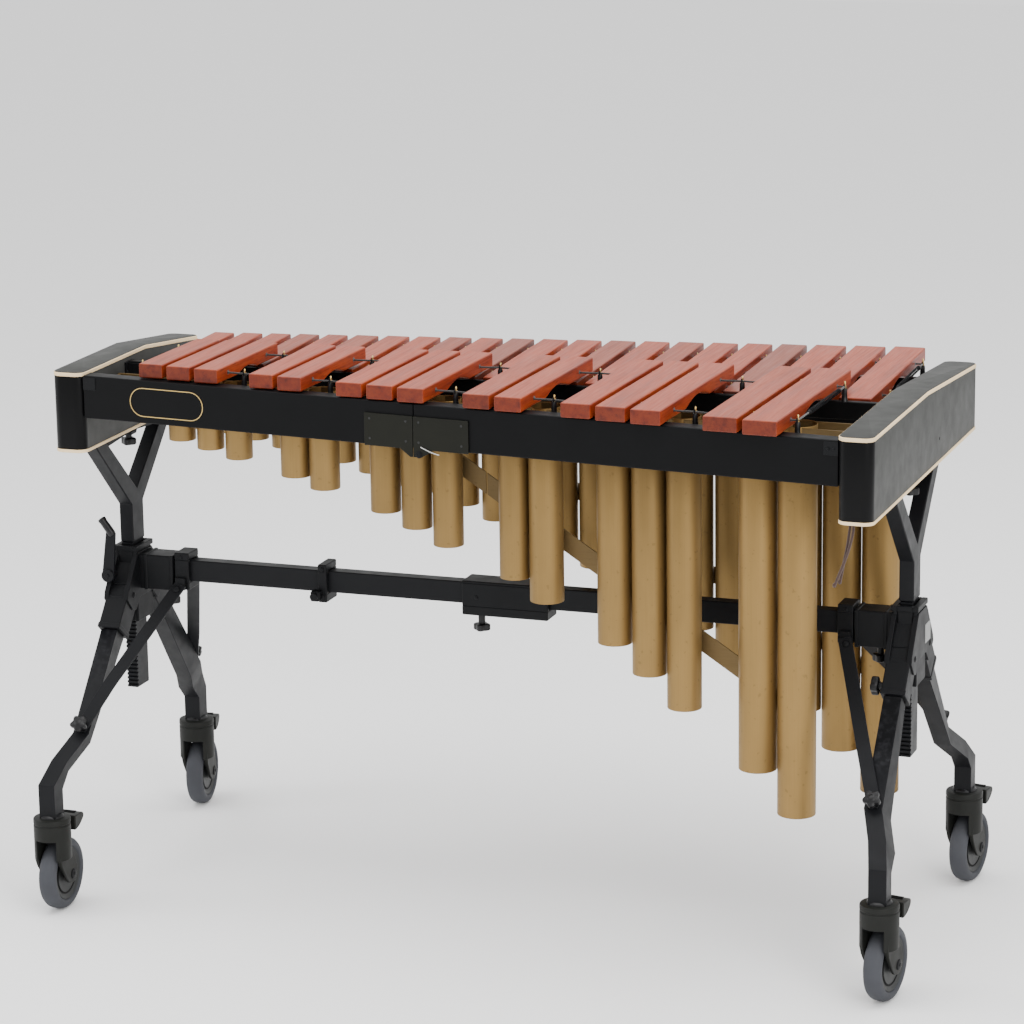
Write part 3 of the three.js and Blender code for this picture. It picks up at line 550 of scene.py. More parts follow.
def bar(name, spec, index, count, tone, node):
    length = spec.far - spec.near
    bottom = spec.top - BAR_THICK
    depth = 7 + 6 * index / (count - 1)
    arch = [((0.34 + 0.32 * k / 16) * length, bottom + depth * math.sin(math.pi * k / 16)) for k in range(1, 16)]
    side = [(0, bottom), (0.34 * length, bottom)] + arch + [(0.66 * length, bottom), (length, bottom),
                                                            (length, spec.top), (0, spec.top)]
    bm = bmesh.new()
    slab(bm, side, (-spec.wide / 2, spec.wide / 2))
    turn = Matrix.Rotation(-math.atan(spec.tilt), 3, "Z")
    for vert in bm.verts:
        vert.co = turn @ vert.co + Vector((spec.at(spec.near), spec.near, 0))
    piece = finished(name, bm, "keyboard", "padouk", PADOUK, 2.4, 3, 30, (node,))
    mark = piece.data.attributes.new("tone", "FLOAT", "POINT")
    mark.data.foreach_set("value", [tone] * len(piece.data.vertices))
    return piece


for i, spec in enumerate(NATURALS):
    bar(f"bar_natural_{i + 1:02d}", spec, i, 22, TONES[i], "bars_natural_high" if i < 11 else "bars_natural_low")
for i, spec in enumerate(ACCIDENTALS):
    bar(f"bar_accidental_{i + 1:02d}", spec, i, 15, SHARPS[i],
        "bars_accidental_high" if i < 8 else "bars_accidental_low")

# Dark discs where the cord enters each bar's sides: painted shade of the cord holes, which are not cut
bm = bmesh.new()
for bars, cords in ((NATURALS, NAT_CORDS), (ACCIDENTALS, ACC_CORDS)):
    for spec in bars:
        for y_of in cords:
            x = spec.at(y_of(spec.x))
            for way in (-1, 1):
                lathe(bm, [(0, 0.25), (3.6, 0.25), (3.9, 0), (3.9, -0.5)],
                      (x + way * spec.wide / 2, y_of(x), spec.top - BAR_THICK / 2), (way, 0, 0), 14)
finished("cord_hole_shades", bm, "keyboard", "cord", CORD_HOLE_SHADE)

# Cords through the bars, and the springs that pull them tight at the low end
rows = [("natural", NATURALS, NAT_CORDS, NATURAL_TOP), ("accidental", ACCIDENTALS, ACC_CORDS, ACCIDENTAL_TOP)]
post_metal, post_sleeve, post_pin = bmesh.new(), bmesh.new(), bmesh.new()
for label, bars, cords, top in rows:
    z = top - BAR_THICK / 2
    for which, y_of in enumerate(cords):
        first, last = bars[0], bars[-1]
        x0 = first.at(y_of(first.x)) - first.wide / 2 - 14
        x1 = last.at(y_of(last.x)) + last.wide / 2 + 12
        spots = [x0] + [between(bars, i, y_of) for i in range(len(bars) - 1)] + [x1]
        route = []
        for a, b in zip(spots, spots[1:]):
            for k in range(4):
                x = a + (b - a) * k / 4
                sag = -1.0 * math.sin(math.pi * k / 4) if b - a > 80 else 0
                route.append((x, y_of(x), z + sag))
        route.append((x1, y_of(x1), z))
        rope(f"cord_{label}_{'near' if which == 0 else 'far'}", route, 1.6, "keyboard", CORD)
        rail_top = 919 if (label, which) == ("accidental", 0) else top - BAR_THICK - 11
        for k, x in enumerate(spots):
            y = y_of(x)
            foot = rail_top - 1
            block(post_metal, (x - 2.2, x + 2.2), (y - 3.2, y + 3.2), (foot, z - 4))
            lathe(post_sleeve, [(0, z - 2.2), (3.4, z - 2.2), (4.2, z - 4), (4.4, (foot + z) / 2),
                                (5.0, foot + 3), (6.2, foot + 1), (6.2, foot - 1)], (x, y, 0), (0, 0, 1), 18)
            for way in (-1, 1):
                block(post_metal, (x - 1.1, x + 1.1), (y + way * 2.4, y + way * 3.9), (z - 5, z + 4.6))
            tip = z + (9 if k in (0, len(spots) - 1) else 8)
            lathe(post_pin, [(0, tip), (1.0, tip - 0.2), (1.5, tip - 1), (1.5, z + 1.5), (2.4, z + 1.2), (2.4, z - 3)],
                  (x, y + 2.6, 0), (0, 0, 1), 14)
finished("posts", post_metal, "keyboard", "rail", STEEL, 0.4, 2)
finished("post_sleeves", post_sleeve, "keyboard", "rail", PLASTIC)
finished("post_pins", post_pin, "keyboard", "cord", BRASS)


def coil(a, b, radius, turns):
    a, b = Vector(a), Vector(b)
    x, y, z = axes(b - a)
    length = (b - a).length
    points = [a]
    n = int(turns * 10)
    for k in range(n + 1):
        t = 2 * math.pi * k / 10
        points.append(a + z * (6 + (length - 12) * k / n) + (x * math.cos(t) + y * math.sin(t)) * radius)
    return points + [b]


for label, bars, cords, top in rows:
    last = bars[-1]
    z = top - BAR_THICK / 2
    xs = [last.at(y_of(last.x)) + last.wide / 2 + 12 for y_of in cords]
    a = Vector((xs[0], cords[0](xs[0]), z))
    b = Vector((xs[1], cords[1](xs[1]), z))
    along = (b - a).normalized()
    rope(f"pull_cord_{label}_near", [a, a + along * 60], 1.5, "keyboard", CORD)
    rope(f"pull_cord_{label}_far", [b - along * 28, b], 1.5, "keyboard", CORD)
    spring_a, spring_b = a + along * 58, b - along * 26
    rope(f"spring_{label}", coil(spring_a, spring_b, 3.4, 26), 0.75, "keyboard", STEEL)
    bm = bmesh.new()
    for end, way in ((spring_a, 1), (spring_b, -1)):
        lathe(bm, [(0, 0), (2.4, 0), (3.6, 3), (3.6, 8), (0, 8.5)], end, along * way, 16)
    finished(f"spring_ends_{label}", bm, "keyboard", "steel", STEEL)

# ---------------------------------------------------------------- end blocks
BLOCK_ROUND = 16
BLOCKS = {"low": {"near": -326, "far": 396, "kink": 34, "bottom": 800, "top": 939, "far_top": 914},
          "high": {"near": -190, "far": 290, "kink": 62, "bottom": 796, "top": 935, "far_top": 909}}


def block_plan(side, out=0.0):
    """The block's rounded outline in plan, with points at the kink of its top."""
    near, far, kink = (KY + BLOCKS[side][v] for v in ("near", "far", "kink"))
    x0 = (CX if side == "low" else -CX) - BLOCK_HALF
    r = BLOCK_ROUND + out
    x0, x1, y0, y1 = x0 - out, x0 + 2 * BLOCK_HALF + out, near - out, far + out
    points = []
    for cx, cy, start in ((x0 + r, y0 + r, 180), (x1 - r, y0 + r, 270), (x1 - r, y1 - r, 0), (x0 + r, y1 - r, 90)):
        if start == 0:
            points += [(x1, y0 + (y1 - y0) * k / 8) for k in (2, 3)] + [(x1, kink)]
        for k in range(11):
            t = math.radians(start + 9 * k)
            points.append((cx + r * math.cos(t), cy + r * math.sin(t)))
        if start == 90:
            points += [(x0, kink)] + [(x0, y0 + (y1 - y0) * k / 8) for k in (3, 2)]
    return points


def block_top(side, y):
    spec = BLOCKS[side]
    fall = (spec["far_top"] - spec["top"]) / (spec["far"] - spec["kink"])
    return spec["top"] + fall * max(0, y - KY - spec["kink"])


def end_block(side):
    bottom = BLOCKS[side]["bottom"]
    outline = block_plan(side)
    bm = bmesh.new()
    inset = 1.6
    inner = block_plan(side, -inset)
    rings = [[bm.verts.new((x, y, bottom)) for x, y in inner],
             [bm.verts.new((x, y, bottom + inset)) for x, y in outline],
             [bm.verts.new((x, y, block_top(side, y) - 2.4)) for x, y in outline],
             [bm.verts.new((x + (a - x) * 0.3, y + (b - y) * 0.3, block_top(side, y) - 0.8))
              for (x, y), (a, b) in zip(outline, inner)],
             [bm.verts.new((x, y, block_top(side, y))) for x, y in inner]]
    for a, b in zip(rings, rings[1:]):
        quads(bm, a, b)
    bm.faces.new(rings[0][::-1])
    top = rings[-1]
    i, j = (k for k, (x, y) in enumerate(outline) if abs(y - KY - BLOCKS[side]["kink"]) < 1e-6)
    bm.faces.new(top[i:j + 1])
    bm.faces.new(top[j:] + top[:i + 1])
    near, far = (KY + BLOCKS[side][v] for v in ("near", "far"))

    # Painted shade on the block's end faces: they take the near-black copy, all other faces the paler painted-light
    # copy.
    def look_of(face):
        y = face.calc_center_median().y
        in_end_shade = y < near + BLOCK_ROUND - 1 or y > far - BLOCK_ROUND + 1
        return int(in_end_shade and abs(face.normal.z) < 0.5)
    finished(f"end_block_body_{side}", bm, "keyboard", "block", [LIT_SIDE, SHADED_NOSE], 0, 2, 50,
             (f"end_block_{side}",), look_of)
    for label, zs, drop in (("top", None, 6.4), ("bottom", bottom, 5.6)):
        bm = bmesh.new()
        out = block_plan(side, 0.9)
        rings = []
        for ring, up in ((outline, 0.0), (out, 0.6), (out, 1 - 0.6 / drop), (outline, 1.0)):
            verts = []
            for x, y in ring:
                top_z = block_top(side, y) - 1.2 if zs is None else zs + drop + 0.4
                up_mm = {0.0: 0.0, 0.6: 0.7, 1.0: drop}.get(up, drop - 0.7)
                verts.append(bm.verts.new((x, y, top_z - drop + up_mm)))
            rings.append(verts)
        for a, b in zip(rings, rings[1:]):
            quads(bm, a, b)
        inner = block_plan(side, -0.6)
        for ring in (rings[0], rings[-1]):
            quads(bm, ring, [bm.verts.new((x, y, v.co.z)) for (x, y), v in zip(inner, ring)])
        finished(f"piping_{label}_{side}", bm, "keyboard", "block", PIPING, 0, 2, 50)
    # A plug on the block's outer side, in the near-black painted-shade copy of the block paint.
    bm = bmesh.new()
    way, back = (1, 120) if side == "low" else (-1, 80)
    button(bm, (way * (CX + BLOCK_HALF), KY + back, 842), (way, 0, 0), 2.6, 0.7)
    finished(f"block_plug_{side}", bm, "keyboard", "block", SHADED_NOSE)


end_block("low")
end_block("high")

# ---------------------------------------------------------------- rails
RAIL_END = CX - BLOCK_HALF - GAP
SPLIT = -53.5


def strip(bm, y_of, thick, xs, zs):
    (x0, x1), (z0, z1) = xs, zs
    ring = [(x0, y_of(x0)), (x1, y_of(x1)), (x1, y_of(x1) + thick), (x0, y_of(x0) + thick)]
    plan(bm, ring, zs)


for end, xs in (("high", (-RAIL_END, SPLIT - GAP)), ("low", (SPLIT + GAP, RAIL_END))):
    bm = bmesh.new()
    strip(bm, FRONT_FACE, 30, xs, (857, 930))
    finished(f"apron_{end}", bm, "keyboard", "rail", RAIL, 2.6, 3, 38, (f"front_rail_{end}",))
    bm = bmesh.new()
    strip(bm, lambda x: FRONT_FACE(x) + 28.2, 27.8, xs, (907, 919))
    finished(f"ledge_{end}", bm, "keyboard", "rail", RAIL, 1.0)
    # The bracket that holds the rail to its block
    x = xs[0] if end == "high" else xs[1]
    inward = 1 if end == "high" else -1
    bm = bmesh.new()
    sheet(bm, [(x + inward * 0.5, 906), (x + inward * 24, 906), (x + inward * 24, 927), (x + inward * 0.5, 927)],
          lambda v: FRONT_FACE(v) - 0.9, 1.2)
    for k in (8, 17):
        button(bm, (x + inward * k, FRONT_FACE(x) - 0.9, 916), (0, -1, 0), 2.4, 1.0)
    finished(f"rail_bracket_{end}", bm, "keyboard", "steel", CAST, 0.4)

for node, y_of, top in (("accidental_rail", ACC_CORDS[1], ACCIDENTAL_TOP),
                        ("natural_near_rail", NAT_CORDS[0], NATURAL_TOP),
                        ("natural_far_rail", NAT_CORDS[1], NATURAL_TOP)):
    z1 = top - BAR_THICK - 11
    bm = bmesh.new()
    strip(bm, lambda x: y_of(x) - 6, 12, (-RAIL_END, RAIL_END), (z1 - 30, z1))
    finished("painted_" + node, bm, "keyboard", "rail", RAIL, 1.8, 3, 38, (node,))
    bm = bmesh.new()
    for way in (-1, 1):
        x = way * RAIL_END
        block(bm, (x, x - way * 3), (y_of(x) - 16, y_of(x) + 16), (z1 - 36, z1 - 1))
        block(bm, (x, x - way * 26), (y_of(x) - 9, y_of(x) - 6.2), (z1 - 26, z1 - 3))
        for dy in (-11.5, 11.5):
            button(bm, (x - way * 3, y_of(x) + dy, z1 - 18), (-way, 0, 0), 2.6, 1.4)
    finished("brackets_" + node, bm, "keyboard", "steel", CAST, 0.4)

# A plain gilt ring, with nothing inside it; the shallow plate under it is not drawn
def stadium(half, r, steps=12):
    points = []
    for side, start in ((1, -90), (-1, 90)):
        points += [(side * half + r * math.cos(math.radians(start + 180 * k / steps)),
                    r * math.sin(math.radians(start + 180 * k / steps))) for k in range(steps + 1)]
    return points


BADGE_X, BADGE_Z = -509.5, 893
bm = bmesh.new()
loops = []
for r, out in ((24.6, 0.0), (24.6, 0.7), (23.2, 0.7), (23.2, 0.0)):
    loops.append([bm.verts.new((BADGE_X + u, FRONT_FACE(BADGE_X + u) - out, BADGE_Z + v))
                  for u, v in stadium(45, r)])
for a, b in zip(loops, loops[1:]):
    quads(bm, a, b)
finished("badge_ring", bm, "keyboard", "tube", BRASS)

# ---------------------------------------------------------------- hinge of the front rail
def leaf_line(x):
    return FRONT_FACE(x) - 3 - GAP


LEAVES = {
    "hinge_leaf_high": [(-141, 856), (-77, 856), (-59, 843), (-54, 843), (-54, 910), (-141, 910)],
    "hinge_leaf_low": [(-53, 843), (-39, 843), (-18, 856), (45, 856), (45, 910), (-53, 910)],
}
for name, outline in LEAVES.items():
    x0, x1 = min(p[0] for p in outline), max(p[0] for p in outline)
    bm = bmesh.new()
    sheet(bm, outline, leaf_line, 3)
    finished("coated_" + name, bm, "keyboard", "steel", HINGE, 0.7, 2, 38, (name,))
    bm = bmesh.new()
    for x in (x0 + 10, x1 - 12):
        for z in (868, 901):
            button(bm, (x, leaf_line(x), z), (0, -1, 0), 2.0, 0.8)
    finished("screws_" + name, bm, "keyboard", "steel", DISC)
bm = bmesh.new()
y = leaf_line(-43) - 1.5
lathe(bm, [(0, 26), (5.4, 26), (6, 25.2), (6, 0.8), (5.4, 0), (0, 0)], (-43, y, 848), (0, 1, 0), 24)
lathe(bm, [(0, -1.6), (3.4, -1.4), (4.2, 0), (0, 0.2)], (-43, y, 848), (0, 1, 0), 20)
finished("hinge_barrel", bm, "keyboard", "steel", CAST)
rope("hinge_catch", smooth_path([(-39, leaf_line(-39) - 1.6, 861), (-29, leaf_line(-29) - 2.4, 857),
                                 (-17, leaf_line(-17) - 2.4, 853), (-6, leaf_line(-6) - 1.6, 850.5)], 5),
     0.9, "keyboard", ZINC)

# ---------------------------------------------------------------- resonators
def tube_length(steps, row):
    stretch, extra = (1.0206, 14) if row == "natural" else (1.038, 8)
    return stretch * 343000 / (4 * 130.81 * 2 ** (steps / 12)) + extra


def bank(row, bars, split, bar_top, slant_at, slants):
    """One row's tubes with their side plates, slanting strips and rivets."""
    top = bar_top - BAR_THICK - 24
    middles = [(spec.near + spec.far) / 2 for spec in bars]
    xs = [spec.at(m) for spec, m in zip(bars, middles)]
    slope = (middles[-1] - middles[0]) / (xs[-1] - xs[0])

    def centre(x):
        return middles[0] + slope * (x - xs[0])

    def spread(x):
        share = (x + 600) / 1200
        return 0.4 * (bars[0].tube + (bars[-1].tube - bars[0].tube) * share)
    outer = {"high": bmesh.new(), "low": bmesh.new()}
    inner = {"high": bmesh.new(), "low": bmesh.new()}
    rivets = bmesh.new()
    for i, spec in enumerate(bars):
        end = "high" if i < split else "low"
        r = spec.tube / 2
        length = tube_length(spec.steps, row)
        z0 = top - length
        lathe(outer[end], [(0, z0 + 0.6), (r * 0.82, z0 + 0.6), (r * 0.86, z0), (r - 1.2, z0),
                           (r - 0.35, z0 + 0.35), (r, z0 + 1.2), (r, z0 + length * 0.5), (r, top - 0.5), (r - 0.4, top),
                              (r - 1.1, top), (r - 1.5, top - 0.4), (r - 1.5, top - 26)],
              (xs[i], middles[i], 0), (0, 0, 1), 48)
        lathe(inner[end], [(r - 1.5, top - 26), (r - 1.5, z0 + 4), (0, z0 + 4)],
              (xs[i], middles[i], 0), (0, 0, 1), 32)
        for way in (-1, 1):
            for dz in (9, 30):
                y = centre(xs[i]) + way * (spread(xs[i]) + 3)
                button(rivets, (xs[i], y, top - dz), (0, way, 0), 2.4, 1.0, 14)
    middle = (bars[split - 1].at(KY + slant_at) + bars[split].at(KY + slant_at)) / 2
    end_x = RAIL_END - 0.4
    spans = {"high": (-end_x, middle - 1), "low": (middle + 1, end_x)}
    for end in ("high", "low"):
        node = f"resonators_{row}_{end}"
        finished(f"tubes_{row}_{end}", outer[end], "keyboard", "tube", TUBE, 0, 2, 40, (node,))
        # The bores are painted dark as the shade inside the tubes.
        finished(f"bores_{row}_{end}", inner[end], "keyboard", "tube", BORE_SHADE)
        x0, x1 = spans[end]
        bm = bmesh.new()
        steps = [x0 + (x1 - x0) * k / 6 for k in range(7)]
        for way in (-1, 1):
            ring = [(x, top - 40) for x in steps] + [(x, top - 1) for x in steps[::-1]]
            offset = (lambda x: centre(x) - spread(x) - 3) if way < 0 else (lambda x: centre(x) + spread(x))
            sheet(bm, ring, offset, 3)
        at, fall, deep, run = slants[end]
        ring = [(run[0], at + fall * run[0] - deep), (run[1], at + fall * run[1] - deep),
                (run[1], at + fall * run[1]), (run[0], at + fall * run[0])]
        sheet(bm, ring, lambda x: centre(x) + spread(x), 3)
        # Cross pieces at the ends tie the two plates together
        for x in (x0 + 3, x1 - 3):
            block(bm, (x - 2.5, x + 2.5), (centre(x) - spread(x), centre(x) + spread(x)), (top - 38, top - 2))
        # The plates are in the darker painted-shade copy of the tube colour.
        finished(f"bank_plates_{row}_{end}", bm, "keyboard", "tube", SHADED_BANK, 0.5)
        for i, spec in enumerate(bars):
            if run[0] - 5 < xs[i] < run[1] + 5:
                z = at + fall * xs[i] - deep / 2
                if z > top - tube_length(spec.steps, row) + 8:
                    button(rivets, (xs[i], centre(xs[i]) + spread(xs[i]) + 3, z), (0, 1, 0), 2.8, 1.1, 14)
    finished(f"rivets_{row}", rivets, "keyboard", "tube", BRASS)


acc_mid = (ACCIDENTALS[7].at(KY) + ACCIDENTALS[8].at(KY)) / 2
nat_mid = (NATURALS[10].at(KY + 170) + NATURALS[11].at(KY + 170)) / 2
bank("accidental", ACCIDENTALS, 8, ACCIDENTAL_TOP, 0,
     {"high": (787, -0.63, 37, (-170, acc_mid - 1)), "low": (787, -0.63, 37, (acc_mid + 1, 560))})
bank("natural", NATURALS, 11, NATURAL_TOP, 170,
     {"high": (744, -0.577, 30, (-190, nat_mid - 1)), "low": (744, -0.577, 30, (nat_mid + 1, 610))})

# ---------------------------------------------------------------- columns
SIDES = ((1, "low"), (-1, "high"))
PLACES = ((-1, "near"), (1, "far"))
for side, end in SIDES:
    x = side * CX
    top = BLOCKS[end]["bottom"] - GAP
    right = [(23, 590), (23, 658), (153, top - 8), (153, top), (119, top)]
    left = [(-y, z) for y, z in reversed(right)]
    points = [(SY + y, z) for y, z in right + [(0, 684)] + left]
    bm = bmesh.new()
    slab(bm, points, (x - 12.5, x + 12.5))
    finished(f"fork_{end}", bm, "keyboard", "steel", STEEL, 2.2, 3, 38, (f"y_column_{end}",))
    # Lower post with its rack of teeth
    bm = bmesh.new()
    teeth = []
    z = 326.0
    while z < 586:
        teeth += [(-23, z), (-23, z + 3.6), (-19.4, z + 4.6), (-19.4, z + 6.2)]
        z += 7.2
    slab(bm, [(SY + y, at) for y, at in [(23, 326), (23, z)] + teeth[::-1]], (x - 10, x + 10))
    finished(f"rack_post_{end}", bm, "keyboard", "steel", STEEL, 0.35, 1)
    # Feet of the arms on the block, and the nut plate of its clamp screw
    bm = bmesh.new()
    for way in (-1, 1):
        y = SY + way * 136
        block(bm, (x - 17, x + 17), (y - 27, y + 27), (top - 4.3, top - 0.1))
        for dx in (-1, 1):
            button(bm, (x + dx * 14.6, y - way * 20, top - 4.3), (0, 0, -1), 2.2, 1.6)
    finished(f"arm_feet_{end}", bm, "keyboard", "steel", CAST, 0.9)
    bm = bmesh.new()
    edge = ((-112, 0.3), (-96, 17), (-14, 11), (14, 11), (96, 17), (112, 0.3))
    slab(bm, [(SY + y, top - drop) for y, drop in edge], (x - 9, x + 9))
    slab(bm, [(SY - 9, top - 16), (SY + 9, top - 16), (SY + 13, top - 10), (SY - 13, top - 10)], (x - 11, x + 11))
    finished(f"screw_plate_{end}", bm, "keyboard", "steel", CAST, 1.0, merge=False)

# ---------------------------------------------------------------- hubs
SOCKET_START, SOCKET_END = (11, 545), (94, 445)
KNEES = [(222, 291), (270, 254), (FOOT_Y, 224), (FOOT_Y, FOOT_Z)]
slant = Vector((SOCKET_END[0] - SOCKET_START[0], SOCKET_END[1] - SOCKET_START[1])).normalized()


def walls(bm, x, xs, ys, zs):
    """Four walls round the sliding column, which passes through them."""
    inner, outer, reach = xs
    for way in (-1, 1):
        block(bm, (x + way * inner, x + way * outer), (SY - ys[1], SY + ys[1]), zs)
    for way in (-1, 1):
        block(bm, (x - reach, x + reach), (SY + way * ys[0], SY + way * ys[1]), zs)


for side, end in SIDES:
    x = side * CX
    bm = bmesh.new()
    walls(bm, x, (12.9, 20.5, 13.2), (23.6, 31), (449, 577))
    finished(f"hub_body_{end}", bm, "stand", "steel", CAST, 2.4, 3, 38, (f"hub_{end}",), merge=False)
    bm = bmesh.new()
    walls(bm, x, (13, 23, 13.5), (23.8, 34), (575.5, 585))
    finished(f"hub_collar_{end}", bm, "stand", "steel", CAST, 1.6, 2, 38, merge=False)
    bm = bmesh.new()
    block(bm, (side * 612, x - side * 18), (SY - 24, SY + 24), (508, 570))
    finished(f"bar_socket_{end}", bm, "stand", "steel", CAST, 3.2, 3)
    bm = bmesh.new()
    for near, far in ((611.2, 618), (660, 667)):
        block(bm, (side * near, side * far), (SY - 25.2, SY + 25.2), (506.8, 571.2))
    finished(f"socket_bands_{end}", bm, "stand", "steel", CAST, 2.0, 2, merge=False)
    for way, place in PLACES:
        bm = bmesh.new()
        a = Vector((x, SY + way * SOCKET_START[0], SOCKET_START[1]))
        b = Vector((x, SY + way * SOCKET_END[0], SOCKET_END[1]))
        d = (b - a).normalized()
        beam(bm, a + d * 47, b, 44, 40, (1, 0, 0))
        root = [(24.2, 553), (27.9, 559), (57.9, 522.9), (24.2, 494.9)]  # clear of the sliding column
        slab(bm, [(SY + way * y, z) for y, z in root], (x - 20, x + 20))
        finished(f"leg_sleeve_{end}_{place}", bm, "stand", "steel", CAST, 2.0, 3, merge=False)
        bm = bmesh.new()
        beam(bm, b - d * 9, b + d * 0.4, 46.2, 42.2, (1, 0, 0))
        beam(bm, b - d * 62, b - d * 57, 45.8, 41.8, (1, 0, 0))
        finished(f"sleeve_lip_{end}_{place}", bm, "stand", "steel", CAST, 1.6, 2, merge=False)
    # A-shaped cheeks that tie the two sleeves to the hub
    for way in (-1, 1):
        face = x + way * 20.4
        points = [(-29, 573), (29, 573), (39, 560), (74, 512), (77, 500), (52, 478), (44, 474), (24, 494),
                  (-24, 494), (-44, 474), (-58, 478), (-77, 500), (-74, 512), (-39, 560)]
        bm = bmesh.new()
        slab(bm, [(SY + y, z) for y, z in points], (x + way * 14, face + way * 2.6))
        finished(f"cheek_{end}_{'a' if way < 0 else 'b'}", bm, "stand", "steel", CAST, 1.1, 2)
        bm = bmesh.new()
        for y in (-52, 52):
            bolt = (face + way * 2.6, SY + y, 503)
            button(bm, bolt, (way, 0, 0), 5.2, 1.6, 24)
            lathe(bm, [(0, 2.0), (5.2 * 0.42, 2.0), (5.2 * 0.42, 0.8)], bolt, (way, 0, 0), 6)
        finished(f"cheek_bolts_{end}_{'a' if way < 0 else 'b'}", bm, "stand", "steel", CAST)
bm = bmesh.new()
face = CX + 23.1
slab(bm, [(SY + 15, 511), (SY + 50, 511), (SY + 50, 537), (SY + 46, 543), (SY + 15, 543)], (face - 2, face + 0.9))
finished("hub_label_plate", bm, "stand", "steel", PLATE, 0.8, 2)

# ---------------------------------------------------------------- legs and braces
LEG_NORMAL = Vector((KNEES[0][1] - SOCKET_END[1], SOCKET_END[0] - KNEES[0][0])).normalized() * -1
UP_LEG = Vector((SOCKET_END[0] - KNEES[0][0], SOCKET_END[1] - KNEES[0][1])).normalized()


def band(points, half):
    sides = [[], []]
    for i, point in enumerate(points):
        p = Vector(point)
        before = (p - Vector(points[i - 1])).normalized() if i else (Vector(points[1]) - p).normalized()
        after = (Vector(points[i + 1]) - p).normalized() if i < len(points) - 1 else before
        across = Vector((-before.y - after.y, before.x + after.x)).normalized()
        reach = half / (across.x * -before.y + across.y * before.x)
        sides[0].append(p + across * reach)
        sides[1].append(p - across * reach)
    return sides


SPLAY = 29


def knee_point(side, way, lift, back):
    reach = 17 + lift
    y = KNEES[0][0] + UP_LEG.x * back + LEG_NORMAL.x * reach
    z = KNEES[0][1] + UP_LEG.y * back + LEG_NORMAL.y * reach
    return Vector((side * CX, SY + way * y, z))


def leg(side, end, way, place):
    start = Vector(SOCKET_END) + slant * 1.3
    one, two = band([tuple(start), tuple(start - UP_LEG)] + KNEES, 17)
    bm = bmesh.new()
    rings = []
    for p, q in zip(one, two):
        ring = []
        for (y, z), sx in ((p, -15), (p, 15), (q, 15), (q, -15)):
            share = min(max((KNEES[0][1] - z) / (KNEES[0][1] - KNEES[1][1]), 0), 1)
            ring.append(bm.verts.new((sx + side * (CX + SPLAY * share), SY + way * y, z)))
        rings.append(ring)
    loft(bm, rings)
    name = f"{end}_{place}"
    finished(f"leg_tube_{name}", bm, "stand", "steel", STEEL, 3.0, 3, 60, (f"leg_{name}",))
    bm = bmesh.new()
    foot = Vector((side * (CX + SPLAY), SY + way * FOOT_Y, FOOT_Z))
    lathe(bm, [(0, 5), (17.5, 5), (20.5, 2.4), (21, -0.2), (0, -0.2)], foot, (0, 0, 1), 28)
    finished(f"leg_ferrule_{name}", bm, "stand", "steel", PLASTIC)
    # Brace: a flat strap from the collar to the leg's face
    lift = GAP + 2
    normal = (0, way * LEG_NORMAL.x, LEG_NORMAL.y)
    top = Vector((side * 596, SY + way * 27, 522))
    foot = knee_point(side, way, lift, 12)
    turn = knee_point(side, way, lift, 94)
    turn.x = side * 669
    past = knee_point(side, way, lift, 3)
    bm = bmesh.new()
    stops = [top, turn, foot, past]
    rings = []
    for k, p in enumerate(stops):
        ahead_of = stops[min(k + 1, 3)] - stops[max(k - 1, 0)]
        u, v, _ = axes(ahead_of, normal)
        wide = 11.5 if k < 3 else 8.5
        rings.append([bm.verts.new(p + u * wide * a + v * 2 * b)
                      for a, b in ((-1, -1), (1, -1), (1, 1), (-1, 1))])
    loft(bm, rings)
    finished(f"brace_strap_{name}", bm, "stand", "steel", STEEL, 0.9, 2, 60, (f"brace_{name}",))
    bm = bmesh.new()
    u, v, w = axes(turn - top, normal)
    button(bm, top + w * 12 + v * 2, v, 7, 3.4, 24)
    lathe(bm, [(0, 8), (5, 8), (5.6, 7), (5.6, 0)], top + w * 12 - v * 9, v, 20)
    finished(f"brace_bolt_{name}", bm, "stand", "steel", CAST)
    # Knob
    bm = bmesh.new()
    foot = knee_point(side, way, 4 + 2 * GAP, 12)
    star(bm, foot, normal, 15.5, 12, 6)
    lathe(bm, [(8.6, 0), (8.6, 1.8), (5, 2.2)], foot, normal, 24)
    finished(f"star_knob_{name}", bm, f"knob_{name}", "plastic", PLASTIC, 0, 2, 38, (f"knob_{name}",))


for side, end in SIDES:
    for way, place in PLACES:
        leg(side, end, way, place)

# ---------------------------------------------------------------- crossbar
BAR_ZS = (525, 563)
for end, xs in (("high", (-612 + GAP, 2 - GAP)), ("low", (2 + GAP, 612 - GAP))):
    bm = bmesh.new()
    block(bm, xs, (SY - 13, SY + 13), BAR_ZS)
    finished(f"bar_tube_{end}", bm, "stand", "steel", STEEL, 2.2, 3, 38, (f"crossbar_{end}",))


def ring_block(bm, xs, half, zs, inner_y=13.4, inner_z=(524.6, 563.4)):
    """A sleeve round the crossbar, in four walls."""
    block(bm, xs, (SY - half, SY + half), (inner_z[1], zs[1]))
    block(bm, xs, (SY - half, SY + half), (zs[0], inner_z[0]))
    block(bm, xs, (SY - half, SY - inner_y), (inner_z[0] - 1, inner_z[1] + 1))
    block(bm, xs, (SY + inner_y, SY + half), (inner_z[0] - 1, inner_z[1] + 1))


